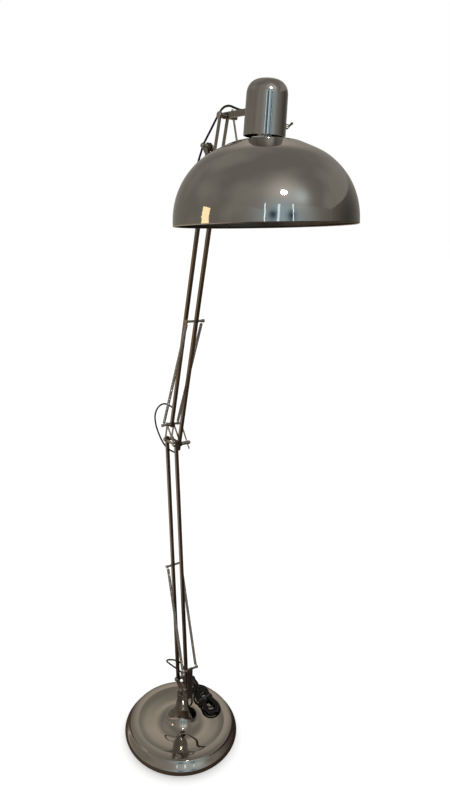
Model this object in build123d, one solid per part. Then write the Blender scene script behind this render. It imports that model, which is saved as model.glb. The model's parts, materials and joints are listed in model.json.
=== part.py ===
from build123d import *
import os
from math import atan2, cos, degrees, hypot, radians, sin, sqrt, tan

# Floor-standing spring-balanced task lamp, millimetres.
# +Z is up, +X points from the base towards the lamp head, and both arms move in the XZ plane.
# The origin is the centre of the base on the floor.
# Points written as (x, z) lie in the arm plane; layers across the lamp are given as y.

# Base
BASE_RADIUS = 190.0
BASE_RIM_HEIGHT = 60.0
BASE_FOOT_RADIUS = 172.0
BASE_WALL = 3.0
PAD_THICKNESS = 3.0
DISH_RADIUS = 146.0
DISH_LOW_RADIUS = 112.0
DISH_LOW_HEIGHT = 52.0
BELL_RADIUS = 62.0
BELL_RISE = 1.0
NECK_RADIUS = 20.5
NECK_HEIGHT = 140.0
BALLAST_THICKNESS = 30.0
BALLAST_GAP = 1.0

# Swivel
COLLAR_RADIUS = 19.0
COLLAR_HEIGHT = 28.0
COLLAR_SPIGOT = 24.0
PIN_RADIUS = 8.0
PIN_LENGTH = 66.0
PIN_FIT = 0.06
SWIVEL_GAP = 0.4
FLANGE_THICKNESS = 7.0
SET_SCREW_RADIUS = 3.0

# Arms
TUBE = 10.0
TUBE_WALL = 1.0
TUBE_CORNER = 0.8
TUBE_END = 9.0
FRONT_FOOT = 6.0
LAYER_GAP = 0.6
ARM_GAP = 55.0
LOWER_LENGTH = 833.5
LOWER_LEAN = -8.5
UPPER_LENGTH = 812.7
UPPER_LEAN = 9.57
FRONT_TAIL = 21.0
BASE_PIVOT_X = 31.5
BASE_PIVOT_Z = 208.0
TOP_PIVOT_BACK = 46.5
TOP_PIVOT_RISE = 51.0
TILT_PIVOT_FORWARD = 23.6
TILT_PIVOT_RISE = 116.0

# Plates, bolts and bushes
PLATE = 1.6
PLATE_CLEARANCE = 0.5
BOSS_RADIUS = 8.0
STRUT_WIDTH = 8.0
FORK_WIDTH = 12.0
BOLT_RADIUS = 3.0
BOLT_FIT = 0.06
HEAD_RADIUS = 6.0
HEAD_HEIGHT = 5.0
BUSH_RADIUS = 6.0
NUT_RADIUS = 5.8
NUT_HEIGHT = 5.0

# Springs and their anchors
ANCHOR_RADIUS = 3.6
ANCHOR_REACH = 29.5
ANCHOR_FLANGE = 5.4
SPRING_LAYER = 25.0
SPRING_RADIUS = 4.6
SPRING_WIRE = 1.4
SPRING_HOOK = 4.0
UPRIGHT_WIDTH = 20.0
UPRIGHT_THICKNESS = 3.0
UPRIGHT_LEAN = -3.5
UPRIGHT_GAP = 3.3
ANCHOR_RISE = 75.0
LOWER_CROSS_AT = 410.0
UPPER_CROSS_AT = 399.6

# Clamp levers
LEVER_RADIUS = 2.6
LEVER_REACH = 66.0
LEVER_TAIL = 21.0
LEVER_HUB_RADIUS = 6.0
LEVER_HUB_HEIGHT = 8.0
ELBOW_SLEEVE_END = 31.0
ELBOW_LEVER_TURN = -38.0
TILT_SLEEVE_END = 24.5
TILT_LEVER_TURN = 160.0
LEVER_GAP = 0.4

# Lamp head
HEAD_BAR_HEIGHT = 15.0
HEAD_BAR_THICKNESS = 4.0
CAP_FROM_TILT = 164.0
CAP_RADIUS = 48.4
CAP_TOP_RADIUS = 46.8
CAP_HEIGHT = 118.0
CAP_DOME = 32.0
CAP_BELOW_TILT = 59.0
CAP_WALL = 1.5
HOLDER_RADIUS = 17.0
HOLDER_HEIGHT = 74.0
HOLDER_BELOW_CAP = 34.0
HOLDER_BORE = 13.6
HOLDER_WALL_FLOOR = 12.0
SEAT_FLANGE_RADIUS = 29.0
SEAT_FLANGE = 3.0
RING_HEIGHT = 9.0
RING_RADIUS = 25.0

# Shade
SHADE_RADIUS = 217.6
SHADE_HEIGHT = 187.3
SHADE_POWER = 2.18
SHADE_WALL = 1.2
SHADE_FLAT_RADIUS = 42.0
SHADE_HOLE_RADIUS = 22.5
SHADE_BEAD = 2.2
SHADE_BELOW_CAP = 8.0
SHADE_OFFSET = 5.0
SHADE_LEAN_X = -4.05
SHADE_LEAN_Y = -2.26
SEAT_CLEARANCE = 2.6

# Bulb
BULB_RADIUS = 30.0
BULB_LENGTH = 92.0
BULB_NECK_RADIUS = 14.5
BULB_CAP_RADIUS = 13.2
BULB_CAP_LENGTH = 24.0

# Switch
SWITCH_TURN = 56.0
SWITCH_RISE = 24.0
SWITCH_BUSH_RADIUS = 5.6
SWITCH_BUSH_LENGTH = 4.0
SWITCH_LEVER_RADIUS = 2.4
SWITCH_LEVER_LENGTH = 11.0
SWITCH_LEVER_LIFT = 42.0
SWITCH_PIN_RADIUS = 0.9
SWITCH_PIN_LENGTH = 7.4

# Cable, mains lead and plug
CABLE = 5.5
CABLE_EXIT_BASE = 68.0
CABLE_EXIT_BELOW_ELBOW = 27.0
CABLE_EXIT_UPPER_BOTTOM = 54.0
CABLE_EXIT_BELOW_HEAD = 94.0
GROMMET_RADIUS = 3.9
GROMMET_PROUD = 1.6
CLIP_CENTRE = (-10.0, 22.0, 222.0)
CLIP_SLOPE = 20.0
CLIP_LENGTH = 12.0
CLIP_WALL = 1.2
CLIP_FOOT = 6.0
CLIP_FOOT_RISE = 1.0
HANK_LENGTH = 146.0
HANK_WIDTH = 62.0
HANK_HEIGHT = 16.0
HANK_X = -27.0
HANK_Y = 117.0
HANK_Z = BASE_RIM_HEIGHT
HANK_TURN = -3.0
TIE_WIDTH = 9.0
TIE_THICKNESS = 1.4
PLUG_LENGTH = 34.0
PLUG_WIDTH = 24.0
PLUG_HEIGHT = 15.0
PIN_ROUND = 2.2
PIN_REACH = 15.0
PIN_SPACING = 14.0

# Layers across the lamp
LOWER_LAYER = -(TUBE + LAYER_GAP) / 2
UPPER_LAYER = (TUBE + LAYER_GAP) / 2
CHEEK_IN = TUBE + LAYER_GAP / 2 + PLATE_CLEARANCE
CHEEK_OUT = CHEEK_IN + PLATE
BOLT_HOLE = BOLT_RADIUS + BOLT_FIT


def step_along(start, lean, distance):
    """Point at a distance from start, along a line that leans forward from vertical by lean degrees."""
    return (start[0] + distance * sin(radians(lean)), start[1] + distance * cos(radians(lean)))


# Pivots, worked out from the base upwards
BASE_FRONT = (BASE_PIVOT_X, BASE_PIVOT_Z)
BASE_REAR = (BASE_PIVOT_X - ARM_GAP, BASE_PIVOT_Z)
ELBOW_FRONT = step_along(BASE_FRONT, LOWER_LEAN, LOWER_LENGTH)
ELBOW_REAR = (ELBOW_FRONT[0] - ARM_GAP, ELBOW_FRONT[1])
ELBOW_TOP = (ELBOW_FRONT[0] - TOP_PIVOT_BACK, ELBOW_FRONT[1] + TOP_PIVOT_RISE)
HEAD_FRONT = step_along(ELBOW_FRONT, UPPER_LEAN, UPPER_LENGTH)
HEAD_REAR = (HEAD_FRONT[0] - TOP_PIVOT_BACK, HEAD_FRONT[1] + TOP_PIVOT_RISE)
TILT = (HEAD_FRONT[0] + TILT_PIVOT_FORWARD, HEAD_FRONT[1] + TILT_PIVOT_RISE)
LOWER_CROSS = step_along(BASE_REAR, LOWER_LEAN, LOWER_CROSS_AT)
UPPER_CROSS = step_along(ELBOW_FRONT, UPPER_LEAN, UPPER_CROSS_AT)
ANCHOR = (BASE_PIVOT_X + 2.0, BASE_PIVOT_Z + ANCHOR_RISE)
CAP_X = TILT[0] + CAP_FROM_TILT
CAP_BOTTOM = TILT[1] - CAP_BELOW_TILT
CAP_TOP = CAP_BOTTOM + CAP_HEIGHT
COLLAR_TOP = NECK_HEIGHT + COLLAR_HEIGHT
FLANGE_TOP = COLLAR_TOP + SWIVEL_GAP + FLANGE_THICKNESS
BLOCK_TOP = BASE_PIVOT_Z - TUBE_END - 2.0


def rod_y(point, y_low, y_high, radius):
    """Round bar across the lamp, from one layer to another."""
    length = y_high - y_low
    middle = (point[0], (y_low + y_high) / 2, point[1])
    return Pos(*middle) * Rot(90, 0, 0) * Cylinder(radius, length)


def hex_y(point, y_low, y_high, radius):
    """Hexagonal bar across the lamp, such as a nut or a bolt head."""
    hexagon = extrude(RegularPolygon(radius, 6), (y_high - y_low) / 2, both=True)
    return Pos(point[0], (y_low + y_high) / 2, point[1]) * Rot(90, 0, 0) * hexagon


def bush_y(point, y_low, y_high):
    """Spacer bush that a bolt passes through."""
    bush = rod_y(point, y_low, y_high, BUSH_RADIUS)
    return bush - rod_y(point, y_low - 1, y_high + 1, BOLT_HOLE)


def nut_y(point, y_low):
    """Hexagonal nut on a bolt."""
    nut = hex_y(point, y_low, y_low + NUT_HEIGHT, NUT_RADIUS)
    return nut - rod_y(point, y_low - 1, y_low + NUT_HEIGHT + 1, BOLT_RADIUS + 0.02)


def dome_head(point, y_seat, radius, height):
    """Round bolt head on the near side, with a softened edge, its flat face at y_seat."""
    head = rod_y(point, y_seat - height, y_seat, radius)
    edge = head.edges().filter_by(GeomType.CIRCLE).sort_by(Axis.Y)[0]
    return fillet(edge, height * 0.45)


def bolt(point, y_far, head_radius=HEAD_RADIUS, head_height=HEAD_HEIGHT):
    """Bolt with its head against the near plate and its end at y_far."""
    shank = rod_y(point, -CHEEK_OUT, y_far, BOLT_RADIUS)
    return shank + dome_head(point, -CHEEK_OUT, head_radius, head_height)


def strut(start, end, width, y_low):
    """Flat strip in the arm plane with round ends, one plate thick."""
    length = hypot(end[0] - start[0], end[1] - start[1])
    turn = degrees(atan2(end[1] - start[1], end[0] - start[0]))
    face = SlotCenterToCenter(length, width)
    strip = extrude(face, PLATE / 2, both=True)
    middle = ((start[0] + end[0]) / 2, y_low + PLATE / 2, (start[1] + end[1]) / 2)
    return Pos(*middle) * Rot(0, -turn, 0) * Rot(90, 0, 0) * strip


def tube_along(pivot, lean, layer, below, above, holes, cable_holes=()):
    """Square tube whose axis passes through a pivot. Cross holes and cable holes are given along it."""
    length = below + above
    middle = Pos(0, 0, (above - below) / 2)
    tube = middle * Box(TUBE, TUBE, length)
    tube = fillet(tube.edges().filter_by(Axis.Z), TUBE_CORNER)
    inner = TUBE - 2 * TUBE_WALL
    tube = tube - middle * Box(inner, inner, length + 2)
    for at, radius in holes:
        tube = tube - Pos(0, 0, at) * Rot(90, 0, 0) * Cylinder(radius, TUBE + 2)
    for at in cable_holes:
        side = Pos(-TUBE / 2, 0, at) * Rot(0, 90, 0) * Cylinder(GROMMET_RADIUS - 0.6, TUBE_WALL * 3)
        tube = tube - side
    return Pos(pivot[0], layer, pivot[1]) * Rot(0, lean, 0) * tube


def grommets(pivot, lean, layer, places):
    """Rubber rings round the cable where it enters the back face of a tube."""
    rings = []
    for at in places:
        ring = Cylinder(GROMMET_RADIUS, GROMMET_PROUD)
        ring = ring + Pos(0, 0, GROMMET_PROUD / 2 + TUBE_WALL / 2) * Cylinder(GROMMET_RADIUS - 0.7, TUBE_WALL)
        ring = ring - Cylinder(CABLE / 2 + 0.05, 3 * GROMMET_PROUD)
        turned = Pos(-TUBE / 2 - GROMMET_PROUD / 2, 0, at) * Rot(0, 90, 0) * ring
        rings.append(Pos(pivot[0], layer, pivot[1]) * Rot(0, lean, 0) * turned)
    return Compound(rings)


# ---------------------------------------------------------------- base

def rim_outline(wall):
    """Rounded rim from the foot up to the crease of the dish, one wall further in for the underside."""
    return Spline(
        (BASE_FOOT_RADIUS - wall, PAD_THICKNESS),
        (BASE_RADIUS - wall, BASE_RIM_HEIGHT / 2),
        (BASE_RADIUS - 15.0 - wall * 0.6, BASE_RIM_HEIGHT - 8.0 - wall * 0.8),
        (DISH_RADIUS, BASE_RIM_HEIGHT - wall),
        tangents=[(1, 0.45), (-1, 0)],
    )


def dish_outline(wall):
    """Shallow dish and the bell of the neck, one wall lower and further in for the underside."""
    return Spline(
        (DISH_RADIUS, BASE_RIM_HEIGHT - wall),
        (DISH_LOW_RADIUS, DISH_LOW_HEIGHT - wall),
        (BELL_RADIUS, DISH_LOW_HEIGHT + BELL_RISE - wall),
        (BELL_RADIUS * 0.74 - wall * 0.6, DISH_LOW_HEIGHT + 10.0 - wall * 0.8),
        (NECK_RADIUS * 1.35 - wall, NECK_HEIGHT * 0.68),
        (NECK_RADIUS - wall, NECK_HEIGHT),
        tangents=[(-1, -0.5), (0, 1)],
    )


def base_shell():
    """Spun shell: rounded rim, crease, shallow dish and trumpet neck, in one piece."""
    rim = rim_outline(0)
    dish = dish_outline(0)
    rim_in = rim_outline(BASE_WALL)
    dish_in = dish_outline(BASE_WALL)
    foot = Line((BASE_FOOT_RADIUS - BASE_WALL, PAD_THICKNESS), (BASE_FOOT_RADIUS, PAD_THICKNESS))
    mouth = Line((NECK_RADIUS - BASE_WALL, NECK_HEIGHT), (NECK_RADIUS, NECK_HEIGHT))
    face = make_face([foot, rim, dish, mouth, dish_in, rim_in])
    return revolve(Plane.XZ * face, Axis.Z)


def base_ballast():
    """Cast-iron disc that fills the rim under the dish."""
    radius = DISH_RADIUS - BALLAST_GAP
    disc = Pos(0, 0, PAD_THICKNESS + BALLAST_THICKNESS / 2) * Cylinder(radius, BALLAST_THICKNESS)
    rod_hole = Cylinder(BOLT_RADIUS * 2, BALLAST_THICKNESS * 4)
    return disc - rod_hole


def base_foot_pad():
    """Felt disc that closes the underside and that the base stands on."""
    return Pos(0, 0, PAD_THICKNESS / 2) * Cylinder(BASE_FOOT_RADIUS, PAD_THICKNESS)


def neck_collar():
    """Bearing collar on the neck, with a spigot down inside it and a bore for the swivel pin."""
    collar = Pos(0, 0, NECK_HEIGHT + COLLAR_HEIGHT / 2) * Cylinder(COLLAR_RADIUS, COLLAR_HEIGHT)
    top_edge = collar.edges().filter_by(GeomType.CIRCLE).sort_by(Axis.Z)[-1]
    collar = fillet(top_edge, 1.5)
    spigot_radius = NECK_RADIUS - BASE_WALL - 0.05
    spigot = Pos(0, 0, NECK_HEIGHT - COLLAR_SPIGOT / 2) * Cylinder(spigot_radius, COLLAR_SPIGOT)
    bore = Pos(0, 0, NECK_HEIGHT) * Cylinder(PIN_RADIUS + PIN_FIT, 4 * COLLAR_HEIGHT)
    screw = Pos(COLLAR_RADIUS, 0, NECK_HEIGHT + COLLAR_HEIGHT * 0.55) * Rot(0, 90, 0)
    return collar + spigot - bore - screw * Cylinder(SET_SCREW_RADIUS, 4 * COLLAR_RADIUS - 4 * PIN_RADIUS)


def set_screw():
    """Screw that steadies the swivel pin, its domed head proud of the collar."""
    inner = PIN_RADIUS + 0.6
    length = COLLAR_RADIUS - inner
    height = NECK_HEIGHT + COLLAR_HEIGHT * 0.55
    shank = Pos(inner + length / 2, 0, height) * Rot(0, 90, 0) * Cylinder(SET_SCREW_RADIUS - 0.05, length)
    head = Pos(COLLAR_RADIUS + 2.2, 0, height) * Rot(0, 90, 0) * Cylinder(SET_SCREW_RADIUS * 1.5, 3.4)
    rim = head.edges().filter_by(GeomType.CIRCLE).sort_by(Axis.X)[-1]
    return shank + fillet(rim, 1.4) + Pos(COLLAR_RADIUS, 0, height) * Rot(0, 90, 0) * Cylinder(SET_SCREW_RADIUS - 0.05, 2.0)


# ---------------------------------------------------------------- swivel bracket

def swivel_post():
    """Pin in the collar, flange on top of it, and the block that the cheeks are bolted to."""
    low = COLLAR_TOP + SWIVEL_GAP
    pin = Pos(0, 0, low - PIN_LENGTH / 2) * Cylinder(PIN_RADIUS, PIN_LENGTH)
    flange = Pos(0, 0, low + FLANGE_THICKNESS / 2) * Cylinder(COLLAR_RADIUS - 0.5, FLANGE_THICKNESS)
    block_back = -COLLAR_RADIUS * 0.6
    block_front = upright_face(FLANGE_TOP)
    block_length = block_front - block_back
    height = BLOCK_TOP - FLANGE_TOP
    block = Pos((block_back + block_front) / 2, 0, FLANGE_TOP + height / 2)
    block = block * Box(block_length, 2 * CHEEK_IN, height)
    ahead = Pos(upright_face(FLANGE_TOP), 0, FLANGE_TOP) * Rot(0, UPRIGHT_LEAN, 0)
    post = pin + flange + (block - ahead * Pos(COLLAR_RADIUS, 0, 0) * Box(2 * COLLAR_RADIUS, 3 * CHEEK_IN, 4 * height))
    return post - rod_y(clamp_point(), -CHEEK_OUT - 2, CHEEK_OUT + 2, BOLT_HOLE)


def clamp_point():
    """Bolt that holds the cheeks to the post."""
    return (BASE_PIVOT_X - ARM_GAP * 0.5 + 2.0, (FLANGE_TOP + BLOCK_TOP) / 2)


def upright_face(height):
    """How far forward the back face of the spring upright is, at a height."""
    foot = BASE_PIVOT_X + TUBE / 2 + UPRIGHT_GAP
    return foot + (height - BASE_PIVOT_Z) * tan(radians(UPRIGHT_LEAN))


def cheek(y_low):
    """Side plate round the two lower pivots, narrowing to a round foot at the clamp bolt."""
    corners = ((BASE_FRONT, BOSS_RADIUS), (BASE_REAR, BOSS_RADIUS), (clamp_point(), BOSS_RADIUS * 1.25))
    rims = []
    for point, radius in corners:
        rims.extend((Pos(point[0], point[1]) * Circle(radius)).edges())
    outline = make_hull(rims)
    plate = extrude(outline, PLATE / 2, both=True)
    plate = Pos(0, y_low + PLATE / 2, 0) * Rot(90, 0, 0) * plate
    for point in (BASE_FRONT, BASE_REAR, clamp_point()):
        plate = plate - rod_y(point, y_low - 2, y_low + PLATE + 2, BOLT_HOLE)
    return plate


def base_bolts():
    points = (BASE_FRONT, BASE_REAR, clamp_point())
    return Compound([bolt(point, CHEEK_OUT + NUT_HEIGHT + 1) for point in points])


def base_nuts():
    return Compound([nut_y(point, CHEEK_OUT) for point in (BASE_FRONT, BASE_REAR, clamp_point())])


def base_bushes():
    """Bushes that fill the far layer, beside the lower tubes."""
    low = LOWER_LAYER + TUBE / 2 + LAYER_GAP / 2
    return Compound([bush_y(point, low, CHEEK_IN) for point in (BASE_FRONT, BASE_REAR)])


def spring_upright():
    """Flat bar in front of the arm, from the post up to the spring anchor."""
    foot = FLANGE_TOP
    length = ANCHOR[1] + ANCHOR_RADIUS * 2 - foot
    bar = Pos(UPRIGHT_THICKNESS / 2, 0, length / 2) * Box(UPRIGHT_THICKNESS, UPRIGHT_WIDTH, length)
    bar = Pos(upright_face(foot), 0, foot) * Rot(0, UPRIGHT_LEAN, 0) * bar
    boss = rod_y(ANCHOR, -UPRIGHT_WIDTH / 2, UPRIGHT_WIDTH / 2, ANCHOR_RADIUS + 1.6)
    return bar + boss - rod_y(ANCHOR, -UPRIGHT_WIDTH, UPRIGHT_WIDTH, ANCHOR_RADIUS + 0.02)


def anchor_rod(point, y_low, y_high):
    """Round rod with a flange at each end that keeps the spring rings on."""
    rod = rod_y(point, y_low, y_high, ANCHOR_RADIUS)
    near = rod_y(point, y_low - 1.5, y_low, ANCHOR_FLANGE)
    far = rod_y(point, y_high, y_high + 1.5, ANCHOR_FLANGE)
    return rod + near + far


def lower_spring_anchor():
    return anchor_rod(ANCHOR, -ANCHOR_REACH, ANCHOR_REACH)


# ---------------------------------------------------------------- springs

def spring(bottom, top, layer):
    """Close-wound tension spring between two rods: its coil as one hollow bar, with a ring at each end."""
    length = hypot(top[0] - bottom[0], top[1] - bottom[1])
    lean = degrees(atan2(top[0] - bottom[0], top[1] - bottom[1]))
    ring_radius = ANCHOR_RADIUS + SPRING_WIRE / 2 + 0.35
    start = ring_radius + SPRING_HOOK
    coil_length = length - 2 * start
    coil = Pos(0, 0, length / 2) * Cylinder(SPRING_RADIUS, coil_length)
    coil = coil - Pos(0, 0, length / 2) * Cylinder(SPRING_RADIUS - SPRING_WIRE, coil_length - 4 * SPRING_WIRE)
    solid = coil
    for at, way in ((0, 1), (length, -1)):
        ring = Pos(0, 0, at) * Rot(90, 0, 0) * Torus(ring_radius, SPRING_WIRE / 2)
        shank_length = start - ring_radius + SPRING_WIRE
        shank = Pos(0, 0, at + way * (ring_radius + shank_length / 2)) * Cylinder(SPRING_WIRE / 2, shank_length)
        solid = solid + ring + shank
    return Pos(bottom[0], layer, bottom[1]) * Rot(0, lean, 0) * solid


# ---------------------------------------------------------------- arms

CABLE_EXIT_LOWER_TOP = LOWER_LENGTH - CABLE_EXIT_BELOW_ELBOW
CABLE_EXIT_UPPER_TOP = UPPER_LENGTH - CABLE_EXIT_BELOW_HEAD


def lower_front_tube():
    holes = ((0, BOLT_HOLE), (LOWER_LENGTH, BOLT_HOLE))
    ways = (CABLE_EXIT_BASE, CABLE_EXIT_LOWER_TOP)
    return tube_along(BASE_FRONT, LOWER_LEAN, LOWER_LAYER, FRONT_FOOT, LOWER_LENGTH + TUBE_END, holes, ways)


def lower_rear_tube():
    holes = ((0, BOLT_HOLE), (LOWER_LENGTH, BOLT_HOLE), (LOWER_CROSS_AT, ANCHOR_RADIUS + 0.02))
    return tube_along(BASE_REAR, LOWER_LEAN, LOWER_LAYER, TUBE_END, LOWER_LENGTH + TUBE_END, holes)


def upper_front_tube():
    holes = ((0, BOLT_HOLE), (UPPER_LENGTH, BOLT_HOLE), (UPPER_CROSS_AT, ANCHOR_RADIUS + 0.02))
    return tube_along(ELBOW_FRONT, UPPER_LEAN, UPPER_LAYER, FRONT_TAIL, UPPER_LENGTH + TUBE_END, holes)


def upper_rear_tube():
    holes = ((0, ANCHOR_RADIUS + BOLT_FIT), (UPPER_LENGTH, BOLT_HOLE))
    ways = (CABLE_EXIT_UPPER_BOTTOM, CABLE_EXIT_UPPER_TOP)
    return tube_along(ELBOW_TOP, UPPER_LEAN, UPPER_LAYER, TUBE_END, UPPER_LENGTH + TUBE_END, holes, ways)


def lower_crosspiece():
    return anchor_rod(LOWER_CROSS, -ANCHOR_REACH, ANCHOR_REACH)


def upper_crosspiece():
    return anchor_rod(UPPER_CROSS, -ANCHOR_REACH, ANCHOR_REACH)


# ---------------------------------------------------------------- elbow

def elbow_plate(y_low):
    """Open triangular plate that carries the ends of both arms."""
    plate = strut(ELBOW_FRONT, ELBOW_REAR, STRUT_WIDTH, y_low)
    plate = plate + strut(ELBOW_REAR, ELBOW_TOP, STRUT_WIDTH, y_low)
    plate = plate + strut(ELBOW_TOP, ELBOW_FRONT, STRUT_WIDTH, y_low)
    for point in (ELBOW_FRONT, ELBOW_REAR, ELBOW_TOP):
        plate = plate + rod_y(point, y_low, y_low + PLATE, BOSS_RADIUS)
    for point, hole in ((ELBOW_FRONT, BOLT_HOLE), (ELBOW_REAR, BOLT_HOLE), (ELBOW_TOP, ANCHOR_RADIUS + 0.02)):
        plate = plate - rod_y(point, y_low - 2, y_low + PLATE + 2, hole)
    return plate


def elbow_top_rod():
    """Rod through the top of the plates: pivot of the rear tube and anchor of the upper springs."""
    return anchor_rod(ELBOW_TOP, -ANCHOR_REACH, ANCHOR_REACH)


def elbow_bolts():
    lever_end = ELBOW_SLEEVE_END + LEVER_HUB_HEIGHT + LEVER_GAP + NUT_HEIGHT + 1
    return Compound([bolt(ELBOW_FRONT, lever_end), bolt(ELBOW_REAR, CHEEK_OUT + NUT_HEIGHT + 1)])


def elbow_bushes():
    """Bushes in the layers that the tubes leave free, and the long bush behind the clamp lever."""
    sleeve = bush_y(ELBOW_FRONT, CHEEK_OUT, ELBOW_SLEEVE_END)
    far = bush_y(ELBOW_REAR, LOWER_LAYER + TUBE / 2 + LAYER_GAP / 2, CHEEK_IN)
    bore = rod_y(ELBOW_TOP, -CHEEK_IN - 1, 0, ANCHOR_RADIUS + 0.02)
    near = rod_y(ELBOW_TOP, -CHEEK_IN, UPPER_LAYER - TUBE / 2 - LAYER_GAP / 2, BUSH_RADIUS) - bore
    return Compound([far, near, sleeve])


def elbow_nuts():
    end_nut = nut_y(ELBOW_FRONT, ELBOW_SLEEVE_END + LEVER_HUB_HEIGHT + LEVER_GAP)
    return Compound([nut_y(ELBOW_REAR, CHEEK_OUT), end_nut])


def clamp_lever(point, y_low, turn):
    """Clamp lever: a hub on the bolt and a round bar through it, long on one side, short on the other."""
    hub = rod_y(point, y_low, y_low + LEVER_HUB_HEIGHT, LEVER_HUB_RADIUS)
    bar = Pos(0, 0, (LEVER_REACH - LEVER_TAIL) / 2) * Cylinder(LEVER_RADIUS, LEVER_REACH + LEVER_TAIL)
    bar = fillet(bar.edges().filter_by(GeomType.CIRCLE), LEVER_RADIUS * 0.7)
    bar = Pos(point[0], y_low + LEVER_HUB_HEIGHT / 2, point[1]) * Rot(0, turn, 0) * bar
    bore = rod_y(point, y_low - 1, y_low + LEVER_HUB_HEIGHT + 1, BOLT_HOLE)
    return hub + bar - bore


def elbow_lever():
    return clamp_lever(ELBOW_FRONT, ELBOW_SLEEVE_END + LEVER_GAP / 2, ELBOW_LEVER_TURN)


# ---------------------------------------------------------------- head bracket

def fork_plate(y_low):
    """Bent side plate: one leg joins the two arm pivots, the other rises to the tilt bolt."""
    plate = strut(HEAD_REAR, HEAD_FRONT, FORK_WIDTH, y_low)
    plate = plate + strut(HEAD_FRONT, TILT, FORK_WIDTH, y_low)
    for point in (HEAD_FRONT, HEAD_REAR, TILT):
        plate = plate + rod_y(point, y_low, y_low + PLATE, BOSS_RADIUS)
    for point in (HEAD_FRONT, HEAD_REAR, TILT):
        plate = plate - rod_y(point, y_low - 2, y_low + PLATE + 2, BOLT_HOLE)
    return plate


def head_bolts():
    return Compound([bolt(point, CHEEK_OUT + NUT_HEIGHT + 1) for point in (HEAD_FRONT, HEAD_REAR)])


def tilt_bolt():
    """Tilt bolt, with a large round head on the near side."""
    far_end = TILT_SLEEVE_END + LEVER_HUB_HEIGHT + LEVER_GAP + NUT_HEIGHT + 1
    return bolt(TILT, far_end, HEAD_RADIUS * 1.38, HEAD_HEIGHT * 1.2)


def head_bushes():
    """Bushes in the near layer on the arm bolts, on both sides of the head bar and behind the lever."""
    near_end = UPPER_LAYER - TUBE / 2 - LAYER_GAP / 2
    parts = [bush_y(point, -CHEEK_IN, near_end) for point in (HEAD_FRONT, HEAD_REAR)]
    bar_side = HEAD_BAR_THICKNESS / 2 + 0.1
    parts.append(bush_y(TILT, -CHEEK_IN, -bar_side))
    parts.append(bush_y(TILT, bar_side, CHEEK_IN))
    parts.append(bush_y(TILT, CHEEK_OUT, TILT_SLEEVE_END))
    return Compound(parts)


def head_nuts():
    end_nut = nut_y(TILT, TILT_SLEEVE_END + LEVER_HUB_HEIGHT + LEVER_GAP)
    return Compound([nut_y(HEAD_FRONT, CHEEK_OUT), nut_y(HEAD_REAR, CHEEK_OUT), end_nut])


def tilt_lever():
    return clamp_lever(TILT, TILT_SLEEVE_END + LEVER_GAP / 2, TILT_LEVER_TURN)


# ---------------------------------------------------------------- lamp head

def head_bar():
    """Flat bar from the tilt bolt into the side of the cap."""
    end_x = CAP_X - CAP_RADIUS + 8.0
    start = (TILT[0], TILT[1])
    length = end_x - start[0]
    bar = Pos(start[0] + length / 2, 0, start[1]) * Box(length, HEAD_BAR_THICKNESS, HEAD_BAR_HEIGHT)
    eye = rod_y(TILT, -HEAD_BAR_THICKNESS / 2, HEAD_BAR_THICKNESS / 2, HEAD_BAR_HEIGHT / 2)
    bar = bar + eye - rod_y(TILT, -HEAD_BAR_THICKNESS, HEAD_BAR_THICKNESS, BOLT_HOLE)
    return bar - cap_core(0)


def cap_radius_at(height):
    """Outer radius of the cap at a height below its dome."""
    share = (height - CAP_BOTTOM) / (CAP_HEIGHT - CAP_DOME)
    return CAP_RADIUS + (CAP_TOP_RADIUS - CAP_RADIUS) * share


def cap_outline(wall):
    """Half outline of the cap, one wall inside its outer skin."""
    top = CAP_HEIGHT - wall
    shoulder = CAP_HEIGHT - CAP_DOME
    flat = CAP_TOP_RADIUS - CAP_DOME
    side = Line((CAP_RADIUS - wall, 0), (CAP_TOP_RADIUS - wall, shoulder))
    dome = Spline(
        (CAP_TOP_RADIUS - wall, shoulder),
        (CAP_TOP_RADIUS - wall - CAP_DOME * 0.28, top - (CAP_DOME - wall) * 0.28),
        (flat, top),
        tangents=[(CAP_TOP_RADIUS - CAP_RADIUS, shoulder), (-1, 0.02)],
    )
    lid = Line((flat, top), (0, top))
    return [side, dome, lid]


def cap_core(wall):
    """Solid of the cap's outline, one wall inside its outer skin."""
    base = Line((0, 0), (CAP_RADIUS - wall, 0))
    axis = Line((0, CAP_HEIGHT - wall), (0, 0))
    return Pos(CAP_X, 0, CAP_BOTTOM) * revolve(Plane.XZ * make_face([base] + cap_outline(wall) + [axis]), Axis.Z)


def cap():
    """Deep-drawn cap over the lampholder, open underneath."""
    shell = cap_core(0) - cap_core(CAP_WALL)
    switch_hole = switch_frame() * Cylinder(SWITCH_BUSH_RADIUS * 0.7, 6 * CAP_WALL)
    return shell - switch_hole


def lampholder():
    """Lampholder hung from the roof of the cap, with a threaded bore for the bulb."""
    low = CAP_BOTTOM - HOLDER_BELOW_CAP
    body = Pos(CAP_X, 0, low + HOLDER_HEIGHT / 2) * Cylinder(HOLDER_RADIUS, HOLDER_HEIGHT)
    flange = Pos(CAP_X, 0, holder_flange_low() + SEAT_FLANGE / 2) * Cylinder(SEAT_FLANGE_RADIUS, SEAT_FLANGE)
    bore_depth = HOLDER_HEIGHT - HOLDER_WALL_FLOOR
    bore = Pos(CAP_X, 0, low + bore_depth / 2 - 0.5) * Cylinder(HOLDER_BORE, bore_depth + 1)
    return body + flange - bore


def holder_flange_low():
    """Underside of the flange that the shade is clamped against."""
    return CAP_BOTTOM - SHADE_BELOW_CAP + SEAT_CLEARANCE


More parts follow.
